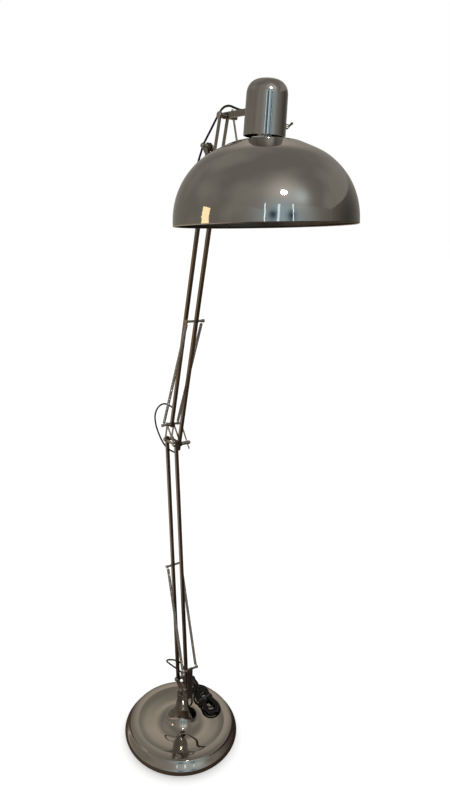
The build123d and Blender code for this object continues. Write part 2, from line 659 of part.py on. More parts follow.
def lampholder_stem():
    """Threaded stem and nut that hang the lampholder from the roof of the cap."""
    holder_top = CAP_BOTTOM - HOLDER_BELOW_CAP + HOLDER_HEIGHT
    roof = CAP_TOP - CAP_WALL
    stem = Pos(CAP_X, 0, (holder_top + roof) / 2) * Cylinder(BOLT_RADIUS * 1.7, roof - holder_top)
    nut = extrude(RegularPolygon(NUT_RADIUS * 1.6, 6), NUT_HEIGHT)
    return stem + Pos(CAP_X, 0, roof - NUT_HEIGHT) * nut


def shade_frame():
    """Frame of the shade: its origin is the middle of the shade's flat top, its Z the shade's own axis."""
    lean = (tan(radians(SHADE_LEAN_X)), tan(radians(SHADE_LEAN_Y)), 1)
    seat = (CAP_X + SHADE_OFFSET, 0, CAP_BOTTOM - SHADE_BELOW_CAP)
    return Plane(origin=seat, z_dir=lean).location


def shade_point(radius, height, turn):
    """Point of the dome's outline at a turn from the rim, measured from the rim plane."""
    power = 2 / SHADE_POWER
    return (radius * cos(radians(turn)) ** power, height * sin(radians(turn)) ** power)


def shade_curve(radius, height):
    """Outline of the dome from its rim to the edge of its flat top."""
    stops = [shade_point(radius, height, turn) for turn in (0, 12, 26, 40, 54, 66)]
    top_height = height * (1 - (SHADE_FLAT_RADIUS / radius) ** SHADE_POWER) ** (1 / SHADE_POWER)
    stops.append((SHADE_FLAT_RADIUS, top_height))
    return Spline(*stops, tangents=[(0, 1), (-1, 0.1)]), top_height


def shade():
    """Spun dome with a flat top, a centre hole for the lampholder and a rolled rim."""
    outer, top = shade_curve(SHADE_RADIUS, SHADE_HEIGHT)
    inner, top_in = shade_curve(SHADE_RADIUS - SHADE_WALL, SHADE_HEIGHT - SHADE_WALL)
    rim = Line((SHADE_RADIUS - SHADE_WALL, 0), (SHADE_RADIUS, 0))
    flat = Line((SHADE_FLAT_RADIUS, top), (SHADE_HOLE_RADIUS, top))
    hole = Line((SHADE_HOLE_RADIUS, top), (SHADE_HOLE_RADIUS, top_in))
    flat_in = Line((SHADE_HOLE_RADIUS, top_in), (SHADE_FLAT_RADIUS, top_in))
    wall = revolve(Plane.XZ * make_face([rim, outer, flat, hole, flat_in, inner]), Axis.Z)
    bead = Torus(SHADE_RADIUS - SHADE_BEAD, SHADE_BEAD)
    return shade_frame() * Pos(0, 0, -top) * (wall + bead)


def shade_ring():
    """Threaded ring under the shade that clamps it to the lampholder."""
    ring = Cylinder(RING_RADIUS, RING_HEIGHT) - Cylinder(HOLDER_RADIUS + 0.1, RING_HEIGHT + 2)
    low = CAP_BOTTOM - SHADE_BELOW_CAP - SHADE_WALL - SEAT_CLEARANCE - RING_HEIGHT / 2
    return Pos(CAP_X, 0, low) * ring


def bulb_glass():
    """Round glass bulb, hanging from the lampholder."""
    top = CAP_BOTTOM - HOLDER_BELOW_CAP + 2.0
    globe_z = -(BULB_LENGTH - BULB_RADIUS)
    neck = Line((0, 0), (BULB_NECK_RADIUS, 0))
    side = Spline(
        (BULB_NECK_RADIUS, 0),
        (BULB_NECK_RADIUS + 1.5, -12),
        (BULB_RADIUS, globe_z),
        tangents=[(0, -1), (0, -1)],
    )
    globe = CenterArc((0, globe_z), BULB_RADIUS, 0, -90)
    axis = Line((0, globe_z - BULB_RADIUS), (0, 0))
    glass = revolve(Plane.XZ * make_face([neck, side, globe, axis]), Axis.Z)
    return Pos(CAP_X, 0, top - 3.0) * glass


def bulb_cap():
    """Screw cap of the bulb, inside the lampholder."""
    top = CAP_BOTTOM - HOLDER_BELOW_CAP - 1.0
    return Pos(CAP_X, 0, top + BULB_CAP_LENGTH / 2) * Cylinder(BULB_CAP_RADIUS, BULB_CAP_LENGTH)


def switch_frame():
    """Frame of the switch: its Z points straight out of the side of the cap."""
    height = CAP_BOTTOM + SWITCH_RISE
    radius = cap_radius_at(height) - CAP_WALL / 2
    return Pos(CAP_X, 0, height) * Rot(0, 0, SWITCH_TURN) * Pos(radius, 0, 0) * Rot(0, 90, 0)


def switch_bush():
    """Threaded bush of the toggle switch, through the wall of the cap, with the switch body inside."""
    half = CAP_WALL / 2
    seat = half + SWITCH_BUSH_RADIUS ** 2 / CAP_TOP_RADIUS
    bush = Pos(0, 0, seat + SWITCH_BUSH_LENGTH / 2) * Cylinder(SWITCH_BUSH_RADIUS, SWITCH_BUSH_LENGTH)
    neck = Cylinder(SWITCH_BUSH_RADIUS * 0.7 - 0.05, 3 * CAP_WALL)
    body = Pos(0, 0, -half - 7.0) * Box(16, 11, 12)
    mouth = Pos(0, 0, seat + SWITCH_BUSH_LENGTH) * Sphere(SWITCH_LEVER_RADIUS + 1.6)
    return switch_frame() * (bush + neck + body - mouth)


def switch_lever():
    """Toggle of the switch, turned up in its bush, with the cross pin it rocks on."""
    lever = Pos(0, 0, SWITCH_LEVER_LENGTH / 2) * Cylinder(SWITCH_LEVER_RADIUS, SWITCH_LEVER_LENGTH)
    tip = Pos(0, 0, SWITCH_LEVER_LENGTH) * Sphere(SWITCH_LEVER_RADIUS * 1.2)
    ball = Sphere(SWITCH_LEVER_RADIUS + 0.9)
    pin = Rot(90, 0, 0) * Cylinder(SWITCH_PIN_RADIUS, SWITCH_PIN_LENGTH)
    solid = Rot(0, -SWITCH_LEVER_LIFT, 0) * (lever + tip + ball + pin)
    out = CAP_WALL / 2 + SWITCH_BUSH_RADIUS ** 2 / CAP_TOP_RADIUS + SWITCH_BUSH_LENGTH
    return switch_frame() * Pos(0, 0, out) * solid


# ---------------------------------------------------------------- cable and mains lead

def run_radii(points):
    """Largest bend radius that the runs on both sides of each corner leave room for."""
    radii = []
    for before, here, after in zip(points, points[1:], points[2:]):
        into = Vector(*here) - Vector(*before)
        out = Vector(*after) - Vector(*here)
        turn = into.get_angle(out)
        radii.append(0.45 * min(into.length, out.length) / tan(radians(turn / 2)))
    return radii


def cable_run(name, points):
    """Round cable along straight runs joined by tangent arcs."""
    radii = run_radii(points)
    print(name, "bend radii", [round(r, 1) for r in radii])
    path = FilletPolyline(*points, radius=radii)
    start = Vector(*points[0])
    way = Vector(*points[1]) - start
    section = Plane(origin=start, z_dir=way) * Circle(CABLE / 2)
    tube = sweep(section, path)
    expected = CABLE ** 2 / 4 * 3.14159265 * path.length
    print(name, "length", round(path.length, 1), "volume ratio", round(tube.volume / expected, 4))
    return tube


def tube_face(pivot, lean, layer, at):
    """Point just outside the grommet in the back face of a tube."""
    centre = step_along(pivot, lean, at)
    out = TUBE / 2 + GROMMET_PROUD
    return (centre[0] - out * cos(radians(lean)), layer, centre[1] + out * sin(radians(lean)))


def clip_end(way):
    """Middle of one end face of the cable clip."""
    reach = way * CLIP_LENGTH / 2
    rise = reach * sin(radians(CLIP_SLOPE))
    return (CLIP_CENTRE[0] + reach * cos(radians(CLIP_SLOPE)), CLIP_CENTRE[1], CLIP_CENTRE[2] + rise)


def from_pivot(pivot, places):
    """Points given ahead of a pivot, across it and above it."""
    return [(pivot[0] + ahead, across, pivot[1] + above) for ahead, across, above in places]


HEAD_EXIT = tube_face(ELBOW_TOP, UPPER_LEAN, UPPER_LAYER, CABLE_EXIT_UPPER_TOP)
ELBOW_EXIT = tube_face(ELBOW_TOP, UPPER_LEAN, UPPER_LAYER, CABLE_EXIT_UPPER_BOTTOM)
ELBOW_ENTRY = tube_face(BASE_FRONT, LOWER_LEAN, LOWER_LAYER, CABLE_EXIT_LOWER_TOP)
BASE_EXIT = tube_face(BASE_FRONT, LOWER_LEAN, LOWER_LAYER, CABLE_EXIT_BASE)

HEAD_TOP_ROUTE = from_pivot(HEAD_FRONT, [
    (135.6, 8.0, 122.8),
    (109.6, 8.5, 121.8),
    (84.6, 7.5, 123.3),
    (60.6, 6.0, 130.3),
    (38.6, 3.5, 138.8),
    (16.6, 0.0, 136.3),
    (0.6, -3.5, 117.3),
    (-13.4, -5.0, 99.3),
])
HEAD_BOTTOM_ROUTE = from_pivot(HEAD_FRONT, [
    (-13.4, -5.0, 99.3),
    (-27.4, -6.5, 81.3),
    (-42.4, -5.5, 68.3),
    (-60.4, -2.0, 55.3),
    (-76.4, 2.0, 36.3),
    (-90.4, 4.3, 17.3),
    (-100.4, 5.3, -3.7),
    (-98.9, 5.3, -24.2),
    (-85.9, 5.3, -37.7),
]) + [HEAD_EXIT]
ELBOW_TOP_ROUTE = [ELBOW_EXIT] + from_pivot(ELBOW_FRONT, [
    (-76.3, 5.3, 108.7),
    (-108.3, 5.2, 100.7),
    (-137.3, 5.0, 80.7),
    (-146.3, 5.0, 65.7),
])
ELBOW_BOTTOM_ROUTE = from_pivot(ELBOW_FRONT, [
    (-146.3, 5.0, 65.7),
    (-155.3, 5.0, 50.7),
    (-149.3, 5.0, 20.7),
    (-127.3, 5.0, -6.3),
    (-96.3, 5.0, -30.3),
    (-63.3, 5.0, -38.3),
    (-32.3, 1.5, -35.3),
]) + [ELBOW_ENTRY]
BASE_LOOP_ROUTE = [BASE_EXIT] + from_pivot(BASE_FRONT, [
    (-31.9, -3.2, 63.8),
    (-46.6, 0.9, 60.5),
    (-61.6, 3.7, 56.8),
    (-76.6, 2.2, 52.8),
    (-90.8, -2.3, 48.2),
    (-104.4, -6.9, 41.9),
    (-117.2, -9.3, 33.3),
    (-128.2, -8.1, 22.3),
    (-135.8, -2.6, 9.9),
    (-137.4, 6.5, -2.6),
    (-131.0, 16.8, -12.2),
    (-118.3, 24.0, -17.0),
    (-102.9, 25.7, -15.7),
    (-88.5, 24.5, -9.8),
    (-75.3, 22.6, -1.5),
    (-61.6, 21.8, 6.0),
]) + [clip_end(-1)]
MAINS_ROUTE = [
    clip_end(1),
    (8.2, 22.1, 229.3),
    (21.3, 25.1, 229.7),
    (30.8, 30.8, 222.3),
    (32.8, 36.9, 210.5),
    (27.6, 42.1, 199.1),
    (18.1, 46.3, 190.3),
    (-1.6, 55.5, 173.8),
    (-17.6, 65.9, 154.4),
    (-29.5, 76.5, 132.2),
    (-40.7, 87.7, 111.9),
    (-46.1, 93.1, 101.7),
    (-52.0, 99.0, 89.5),
    (-52.0, 99.0, HANK_Z + HANK_HEIGHT),
]


def cable_clip():
    """Clip that holds the cable off the far cheek: a sleeve on a foot that is screwed to the cheek."""
    turned = Pos(*CLIP_CENTRE) * Rot(0, 90 - CLIP_SLOPE, 0)
    sleeve = turned * Cylinder(CABLE / 2 + CLIP_WALL, CLIP_LENGTH)
    depth = CLIP_CENTRE[1] - CABLE / 2 - CHEEK_OUT
    low = BASE_PIVOT_Z + CLIP_FOOT_RISE
    height = CLIP_CENTRE[2] - low
    foot = Pos(CLIP_CENTRE[0], CHEEK_OUT + depth / 2, low + height / 2) * Box(CLIP_FOOT, depth, height)
    return sleeve + foot


def hank_frame():
    return Pos(HANK_X, HANK_Y, HANK_Z) * Rot(0, 0, HANK_TURN)


def lead_hank():
    """The rest of the mains lead, folded into a flat hank: the outer shape of its turns."""
    face = SlotOverall(HANK_LENGTH, HANK_WIDTH)
    slab = extrude(face, HANK_HEIGHT)
    slab = fillet(slab.edges().filter_by(Plane.XY), HANK_HEIGHT * 0.4)
    return hank_frame() * slab


def hank_tie():
    """Tie round the middle of the hank."""
    gap = 0.1
    outer = Box(TIE_WIDTH, HANK_WIDTH + 2 * (gap + TIE_THICKNESS), HANK_HEIGHT + 2 * gap + TIE_THICKNESS)
    inner = Box(TIE_WIDTH + 2, HANK_WIDTH + 2 * gap, HANK_HEIGHT + 2 * gap)
    lift = TIE_THICKNESS / 2
    return hank_frame() * Pos(0, 0, HANK_HEIGHT / 2 + lift) * (outer - Pos(0, 0, -lift) * inner)


def mains_plug():
    """Two-pin plug at the end of the hank."""
    body = Box(PLUG_LENGTH, PLUG_WIDTH, PLUG_HEIGHT)
    body = fillet(body.edges().filter_by(Axis.X), PLUG_HEIGHT * 0.3)
    pins = [Pos(PLUG_LENGTH / 2 + PIN_REACH / 2 - 0.5, side * PIN_SPACING / 2, 0) * Rot(0, 90, 0)
            * Cylinder(PIN_ROUND, PIN_REACH + 1) for side in (-1, 1)]
    plug = body + pins
    out = HANK_LENGTH / 2 + PLUG_LENGTH / 2 + 0.2
    return hank_frame() * Pos(-out, 0, HANK_HEIGHT / 2) * Rot(0, 0, 180) * plug


NODES = {
    "base_shell": base_shell,
    "base_ballast": base_ballast,
    "base_foot_pad": base_foot_pad,
    "neck_collar": neck_collar,
    "collar_set_screw": set_screw,
    "swivel_post": swivel_post,
    "base_cheek_near": lambda: cheek(-CHEEK_OUT),
    "base_cheek_far": lambda: cheek(CHEEK_IN),
    "base_bolts": base_bolts,
    "base_nuts": base_nuts,
    "base_bushes": base_bushes,
    "spring_upright": spring_upright,
    "lower_spring_anchor": lower_spring_anchor,
    "lower_front_tube": lower_front_tube,
    "lower_rear_tube": lower_rear_tube,
    "lower_crosspiece": lower_crosspiece,
    "lower_spring_near": lambda: spring(ANCHOR, LOWER_CROSS, -SPRING_LAYER),
    "lower_spring_far": lambda: spring(ANCHOR, LOWER_CROSS, SPRING_LAYER),
    "elbow_plate_near": lambda: elbow_plate(-CHEEK_OUT),
    "elbow_plate_far": lambda: elbow_plate(CHEEK_IN),
    "elbow_top_rod": elbow_top_rod,
    "elbow_bolts": elbow_bolts,
    "elbow_bushes": elbow_bushes,
    "elbow_nuts": elbow_nuts,
    "elbow_lever": elbow_lever,
    "upper_front_tube": upper_front_tube,
    "upper_rear_tube": upper_rear_tube,
    "upper_crosspiece": upper_crosspiece,
    "upper_spring_near": lambda: spring(ELBOW_TOP, UPPER_CROSS, -SPRING_LAYER),
    "upper_spring_far": lambda: spring(ELBOW_TOP, UPPER_CROSS, SPRING_LAYER),
    "fork_plate_near": lambda: fork_plate(-CHEEK_OUT),
    "fork_plate_far": lambda: fork_plate(CHEEK_IN),
    "head_bolts": head_bolts,
    "tilt_bolt": tilt_bolt,
    "head_bushes": head_bushes,
    "head_nuts": head_nuts,
    "tilt_lever": tilt_lever,
    "head_bar": head_bar,
    "cap": cap,
    "lampholder": lampholder,
    "lampholder_stem": lampholder_stem,
    "shade": shade,
    "shade_ring": shade_ring,
    "bulb_glass": bulb_glass,
    "bulb_cap": bulb_cap,
    "switch_bush": switch_bush,
    "switch_lever": switch_lever,
    "head_cable": lambda: cable_run("head_cable", HEAD_TOP_ROUTE),
    "neck_cable": lambda: cable_run("neck_cable", HEAD_BOTTOM_ROUTE),
    "elbow_cable_top": lambda: cable_run("elbow_cable_top", ELBOW_TOP_ROUTE),
    "elbow_cable_bottom": lambda: cable_run("elbow_cable_bottom", ELBOW_BOTTOM_ROUTE),
    "base_loop_cable": lambda: cable_run("base_loop_cable", BASE_LOOP_ROUTE),
    "mains_lead": lambda: cable_run("mains_lead", MAINS_ROUTE),
    "lead_hank": lead_hank,
    "hank_tie": hank_tie,
    "mains_plug": mains_plug,
    "cable_clip": cable_clip,
    "lower_grommets": lambda: grommets(
        BASE_FRONT, LOWER_LEAN, LOWER_LAYER, (CABLE_EXIT_BASE, CABLE_EXIT_LOWER_TOP)
    ),
    "upper_grommets": lambda: grommets(
        ELBOW_TOP, UPPER_LEAN, UPPER_LAYER, (CABLE_EXIT_UPPER_BOTTOM, CABLE_EXIT_UPPER_TOP)
    ),
}

os.makedirs("parts", exist_ok=True)
for node, make in NODES.items():
    export_step(make(), f"parts/{node}.step")
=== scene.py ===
import json
import math
import bpy
from mathutils import Matrix, Vector


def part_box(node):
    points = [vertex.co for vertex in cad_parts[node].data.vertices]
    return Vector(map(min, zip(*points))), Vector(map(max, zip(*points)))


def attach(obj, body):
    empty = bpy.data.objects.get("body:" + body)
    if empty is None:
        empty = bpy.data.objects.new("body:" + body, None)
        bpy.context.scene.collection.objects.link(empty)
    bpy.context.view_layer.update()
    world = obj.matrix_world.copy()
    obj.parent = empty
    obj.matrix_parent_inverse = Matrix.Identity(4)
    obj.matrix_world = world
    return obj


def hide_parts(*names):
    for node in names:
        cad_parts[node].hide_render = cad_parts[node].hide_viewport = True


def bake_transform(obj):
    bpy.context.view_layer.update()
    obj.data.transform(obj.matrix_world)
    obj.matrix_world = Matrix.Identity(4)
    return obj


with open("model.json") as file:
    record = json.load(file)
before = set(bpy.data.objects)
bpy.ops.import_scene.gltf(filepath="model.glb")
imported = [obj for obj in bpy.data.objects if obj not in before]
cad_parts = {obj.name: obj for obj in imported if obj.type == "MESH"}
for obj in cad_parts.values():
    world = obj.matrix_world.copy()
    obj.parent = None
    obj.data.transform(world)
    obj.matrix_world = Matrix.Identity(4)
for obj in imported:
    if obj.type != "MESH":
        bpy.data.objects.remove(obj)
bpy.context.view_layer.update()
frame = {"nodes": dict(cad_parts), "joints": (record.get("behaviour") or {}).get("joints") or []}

pivot = {joint["name"]: Vector(joint["pos_m"]) for joint in frame["joints"]}

# ---------------------------------------------------------------- camera
# A 27 mm lens at eye height in front of the lamp, to the right of its arms,
# looking down so that the base and the head are both in view.

lens = bpy.data.cameras.new("eye_height_lens")
lens.lens = 27.0
lens.sensor_width = 36.0
lens.clip_start = 0.05
camera = bpy.data.objects.new("eye_height_camera", lens)
camera.location = (1.39029, -0.92609, 1.69740)
camera.rotation_euler = (math.radians(73.5563), math.radians(-3.2776), math.radians(54.4177))
bpy.context.scene.collection.objects.link(camera)
bpy.context.scene.camera = camera

# ---------------------------------------------------------------- black flex
# Round flex with a smooth black sheath, 5.5 mm across. It runs inside the square tubes,
# and what is built here is the slack loop where it comes out at each joint.

FLEX = 0.0055


def only(piece):
    """Leave one piece selected and active."""
    bpy.ops.object.select_all(action="DESELECT")
    piece.select_set(True)
    bpy.context.view_layer.objects.active = piece


def route_curve(name, points):
    """Smooth line through the way that the cable takes, its points as control points."""
    line = bpy.data.curves.new(name, "CURVE")
    line.dimensions = "3D"
    line.resolution_u = 8
    spline = line.splines.new("NURBS")
    spline.points.add(len(points) - 1)
    for place, point in zip(spline.points, points):
        place.co = (*point, 1.0)
    spline.order_u = 3
    spline.use_endpoint_u = True
    return bpy.data.objects.new(name, line)


def line_points(route):
    """Points along a route, read from its own smooth line."""
    route.data.bevel_depth = 0.0
    mesh = bpy.data.meshes.new_from_object(route)
    found = [vertex.co.copy() for vertex in mesh.vertices]
    bpy.data.meshes.remove(mesh)
    return found


def sheathed(name, points, diameter, material):
    """Cable along a route as a closed mesh tube, and the line it follows."""
    route = route_curve(name + "_route", points)
    bpy.context.scene.collection.objects.link(route)
    followed = line_points(route)
    route.data.bevel_depth = diameter / 2
    route.data.bevel_resolution = 3
    route.data.use_fill_caps = True
    mesh = bpy.data.meshes.new_from_object(route)
    mesh.name = name
    bpy.data.objects.remove(route)
    tube = bpy.data.objects.new(name, mesh)
    bpy.context.scene.collection.objects.link(tube)
    mesh.materials.clear()
    mesh.materials.append(material)
    only(tube)
    bpy.ops.object.mode_set(mode="EDIT")
    bpy.ops.mesh.select_all(action="SELECT")
    bpy.ops.mesh.remove_doubles(threshold=0.00002)
    bpy.ops.mesh.normals_make_consistent(inside=False)
    bpy.ops.object.mode_set(mode="OBJECT")
    bpy.ops.object.shade_smooth()
    return tube, followed


def new_material(name):
    """Material with an empty graph: its Principled shader and output, wired."""
    material = bpy.data.materials.new(name)
    material.use_nodes = True
    graph = material.node_tree
    graph.nodes.clear()
    shader = graph.nodes.new("ShaderNodeBsdfPrincipled")
    output = graph.nodes.new("ShaderNodeOutputMaterial")
    graph.links.new(shader.outputs["BSDF"], output.inputs["Surface"])
    return material, graph, shader


def build_handling_marks():
    """Shader group: cloudy smears, fine wiping lines and specks of dust, from Object coordinates."""
    group = bpy.data.node_groups.new("handling_marks", "ShaderNodeTree")
    face = group.interface
    inputs = {"Smear Scale": 14.0, "Wipe Scale": 90.0, "Low": 0.08, "High": 0.2, "Dust": 0.2}
    for title, value in inputs.items():
        socket = face.new_socket(title, in_out="INPUT", socket_type="NodeSocketFloat")
        socket.default_value = value
    for title in ("Roughness", "Smear", "Height"):
        face.new_socket(title, in_out="OUTPUT", socket_type="NodeSocketFloat")
    nodes, links = group.nodes, group.links
    given = nodes.new("NodeGroupInput")
    put_out = nodes.new("NodeGroupOutput")
    place = nodes.new("ShaderNodeTexCoord")
    smear = nodes.new("ShaderNodeTexNoise")
    smear.inputs["Detail"].default_value = 3.0
    smear.inputs["Roughness"].default_value = 0.55
    smear.inputs["Distortion"].default_value = 0.6
    links.new(place.outputs["Object"], smear.inputs["Vector"])
    links.new(given.outputs["Smear Scale"], smear.inputs["Scale"])
    stretched = nodes.new("ShaderNodeMapping")
    stretched.inputs["Scale"].default_value = (1.0, 1.0, 0.12)
    stretched.inputs["Rotation"].default_value = (0.3, 0.5, 0.2)
    links.new(place.outputs["Object"], stretched.inputs["Vector"])
    wipe = nodes.new("ShaderNodeTexNoise")
    wipe.inputs["Detail"].default_value = 4.0
    links.new(stretched.outputs["Vector"], wipe.inputs["Vector"])
    links.new(given.outputs["Wipe Scale"], wipe.inputs["Scale"])
    dust = nodes.new("ShaderNodeTexVoronoi")
    dust.inputs["Scale"].default_value = 420.0
    links.new(place.outputs["Object"], dust.inputs["Vector"])
    speck = nodes.new("ShaderNodeMapRange")
    speck.inputs["From Min"].default_value = 0.16
    speck.inputs["From Max"].default_value = 0.06
    links.new(dust.outputs["Distance"], speck.inputs["Value"])
    speck_share = nodes.new("ShaderNodeMath")
    speck_share.operation = "MULTIPLY"
    links.new(speck.outputs["Result"], speck_share.inputs[0])
    links.new(given.outputs["Dust"], speck_share.inputs[1])
    both = nodes.new("ShaderNodeMath")
    both.operation = "MULTIPLY"
    links.new(smear.outputs["Fac"], both.inputs[0])
    links.new(wipe.outputs["Fac"], both.inputs[1])
    rough = nodes.new("ShaderNodeMapRange")
    rough.inputs["From Min"].default_value = 0.12
    rough.inputs["From Max"].default_value = 0.42
    links.new(both.outputs["Value"], rough.inputs["Value"])
    links.new(given.outputs["Low"], rough.inputs["To Min"])
    links.new(given.outputs["High"], rough.inputs["To Max"])
    dusty = nodes.new("ShaderNodeMath")
    dusty.operation = "ADD"
    links.new(rough.outputs["Result"], dusty.inputs[0])
    links.new(speck_share.outputs["Value"], dusty.inputs[1])
    links.new(dusty.outputs["Value"], put_out.inputs["Roughness"])
    links.new(smear.outputs["Fac"], put_out.inputs["Smear"])
    height = nodes.new("ShaderNodeMath")
    height.operation = "ADD"
    links.new(wipe.outputs["Fac"], height.inputs[0])
    links.new(speck_share.outputs["Value"], height.inputs[1])
    links.new(height.outputs["Value"], put_out.inputs["Height"])
    return group


handling_marks = build_handling_marks()


def marked_finish(
        name, light, deep, metal, low, high, bump, smear_scale=14.0, wipe_scale=90.0, dust=0.15):
    """Material whose colour, gloss and height vary with the handling marks."""
    material, graph, shader = new_material(name)
    marks = graph.nodes.new("ShaderNodeGroup")
    marks.node_tree = handling_marks
    marks.inputs["Smear Scale"].default_value = smear_scale
    marks.inputs["Wipe Scale"].default_value = wipe_scale
    marks.inputs["Low"].default_value = low
    marks.inputs["High"].default_value = high
    marks.inputs["Dust"].default_value = dust
    tint = graph.nodes.new("ShaderNodeMix")
    tint.data_type = "RGBA"
    tint.inputs["A"].default_value = (*light, 1.0)
    tint.inputs["B"].default_value = (*deep, 1.0)
    bumped = graph.nodes.new("ShaderNodeBump")
    bumped.inputs["Strength"].default_value = bump
    bumped.inputs["Distance"].default_value = 0.0002
    links = graph.links
    links.new(marks.outputs["Smear"], tint.inputs["Factor"])
    links.new(tint.outputs["Result"], shader.inputs["Base Color"])
    links.new(marks.outputs["Roughness"], shader.inputs["Roughness"])
    links.new(marks.outputs["Height"], bumped.inputs["Height"])
    links.new(bumped.outputs["Normal"], shader.inputs["Normal"])
    shader.inputs["Metallic"].default_value = metal
    return material, graph, shader


flex_sheath, _, flex_shader = marked_finish(
    "flex_sheath", (0.006, 0.006, 0.006), (0.016, 0.015, 0.015), 0.0, 0.45, 0.65, 0.25,
    smear_scale=60.0, dust=0.2)
flex_shader.inputs["Specular IOR Level"].default_value = 0.22

head_loop, _ = sheathed("head_flex", [
    (0.179, 0.008, 1.9565), (0.153, 0.0085, 1.9555), (0.128, 0.0075, 1.957), (0.104, 0.006, 1.964),
    (0.082, 0.0035, 1.9725), (0.060, 0.0, 1.970), (0.044, -0.0035, 1.951), (0.030, -0.005, 1.933),
], FLEX, flex_sheath)
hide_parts("head_cable")
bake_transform(head_loop)

neck_loop, _ = sheathed("neck_flex", [
    (0.030, -0.005, 1.933), (0.016, -0.0065, 1.915), (0.001, -0.0055, 1.902), (-0.017, -0.002, 1.889),
    (-0.033, 0.002, 1.870), (-0.047, 0.0043, 1.851), (-0.057, 0.0053, 1.830), (-0.0555, 0.0053, 1.8095),
    (-0.0425, 0.0053, 1.796), (-0.0252, 0.0053, 1.7931),
], FLEX, flex_sheath)
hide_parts("neck_cable")
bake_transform(neck_loop)

elbow_loop_above, _ = sheathed("elbow_flex_above", [
    (-0.1357, 0.0053, 1.1377), (-0.168, 0.0053, 1.141), (-0.200, 0.0052, 1.133), (-0.229, 0.005, 1.113),
    (-0.238, 0.005, 1.098),
], FLEX, flex_sheath)
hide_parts("elbow_cable_top")
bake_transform(elbow_loop_above)

elbow_loop_below, _ = sheathed("elbow_flex_below", [
    (-0.238, 0.005, 1.098), (-0.247, 0.005, 1.083), (-0.241, 0.005, 1.053), (-0.219, 0.005, 1.026),
    (-0.188, 0.005, 1.002), (-0.155, 0.005, 0.994), (-0.124, 0.0015, 0.997), (-0.0942, -0.0053, 1.0047),
], FLEX, flex_sheath)
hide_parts("elbow_cable_bottom")
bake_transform(elbow_loop_below)

base_loop, _ = sheathed("base_flex", [
    (0.0149, -0.0053, 0.2743), (-0.0004, -0.0032, 0.2718), (-0.0151, 0.0009, 0.2685),
    (-0.0301, 0.0037, 0.2648), (-0.0451, 0.0022, 0.2608), (-0.0593, -0.0023, 0.2562),
    (-0.0729, -0.0069, 0.2499), (-0.0857, -0.0093, 0.2413), (-0.0967, -0.0081, 0.2303),
    (-0.1043, -0.0026, 0.2179), (-0.1059, 0.0065, 0.2054), (-0.0995, 0.0168, 0.1958),
    (-0.0868, 0.0240, 0.1910), (-0.0714, 0.0257, 0.1923), (-0.0570, 0.0245, 0.1982),
    (-0.0438, 0.0226, 0.2065), (-0.0301, 0.0218, 0.2140), (-0.01564, 0.022, 0.21995),
], FLEX, flex_sheath)
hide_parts("base_loop_cable")
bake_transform(base_loop)

# ---------------------------------------------------------------- mains lead and hank
# The lead leaves the clip beside the swivel, drops behind it and ends in a loose hank
# that lies in the dish of the base. It is drawn in at the tie, and its turns differ in size.

HANK_MIDDLE = Vector((-0.027, 0.117, 0.0))
HANK_TURN = math.radians(-3.0)
DISH_CREASE = 0.1475  # distance from the middle of the base at which the dish starts to fall
DISH_SLOPE = 0.052  # width of the falling part
DISH_FALL = 0.0086
BEND_STEP = 50.0  # degrees from one control point of a bend to the next
BEND_SPREAD = 1.085  # control points lie this much outside the bend that they shape
LOWER_TURNS = 0.0636
UPPER_TURNS = 0.0698
LOBES = (0.0285, 0.0220, 0.0150)
WAISTS = (0.0214, 0.0152, 0.0088)


def hank_place(along, across, height):
    """Point of the hank: along it, across it and up from the floor, let down into the dish."""
    turn = Matrix.Rotation(HANK_TURN, 3, "Z")
    flat = turn @ Vector((along, across, 0.0)) + HANK_MIDDLE
    settle = DISH_FALL * min(1.0, max(0.0, (DISH_CREASE - flat.length) / DISH_SLOPE))
    return (flat.x, flat.y, height - settle)


def hank_bend(end, radii, heights, first):
    """Control points round one end of the hank."""
    points = []
    for step, (radius, height) in enumerate(zip(radii, heights)):
        angle = math.radians(first - BEND_STEP * step)
        reach = radius * BEND_SPREAD
        points.append(hank_place(end + reach * math.cos(angle), reach * math.sin(angle), height))
    return points


def hank_turn(left, right, lobe, next_lobe, waist, next_waist, low, high):
    """Control points of one turn: left bend, far side, right bend and near side."""
    widths = [lobe + (next_lobe - lobe) * step / 3 for step in range(4)]
    heights = [low + (high - low) * step / 3 for step in range(4)]
    points = hank_bend(left, [lobe] * 4, [low] * 4, 255.0)
    points += [hank_place(-0.008, waist, low), hank_place(0.008, waist, low)]
    points += hank_bend(right, widths, heights, 75.0)
    points += [hank_place(0.008, -next_waist, high), hank_place(-0.008, -next_waist, high)]
    return points


lead_way = [
    (-0.00436, 0.022, 0.22405), (0.0082, 0.0221, 0.2293), (0.0213, 0.0251, 0.2297),
    (0.0308, 0.0308, 0.2223), (0.0328, 0.0369, 0.2105), (0.0276, 0.0421, 0.1991),
    (0.0181, 0.0463, 0.1903), (-0.0016, 0.0555, 0.1738), (-0.0176, 0.0659, 0.1544),
    (-0.0295, 0.0765, 0.1332), (-0.0390, 0.0840, 0.1130),
    hank_place(-0.022, -0.0305, 0.1045), hank_place(-0.035, -0.0318, 0.0900),
    hank_place(-0.046, -0.0308, 0.0770),
]
first_turn = hank_turn(-0.0375, 0.0410, LOBES[0], LOBES[1], WAISTS[0], WAISTS[1], LOWER_TURNS, LOWER_TURNS)
lead_way += [hank_place(-0.0540, -0.0262, 0.0672)] + first_turn[1:]
lead_way += hank_turn(-0.0355, 0.0395, LOBES[1], LOBES[2], WAISTS[1], WAISTS[2], LOWER_TURNS, LOWER_TURNS)
lead_way += hank_turn(-0.0320, 0.0285, LOBES[2], LOBES[2], WAISTS[2], WAISTS[2], LOWER_TURNS, UPPER_TURNS)
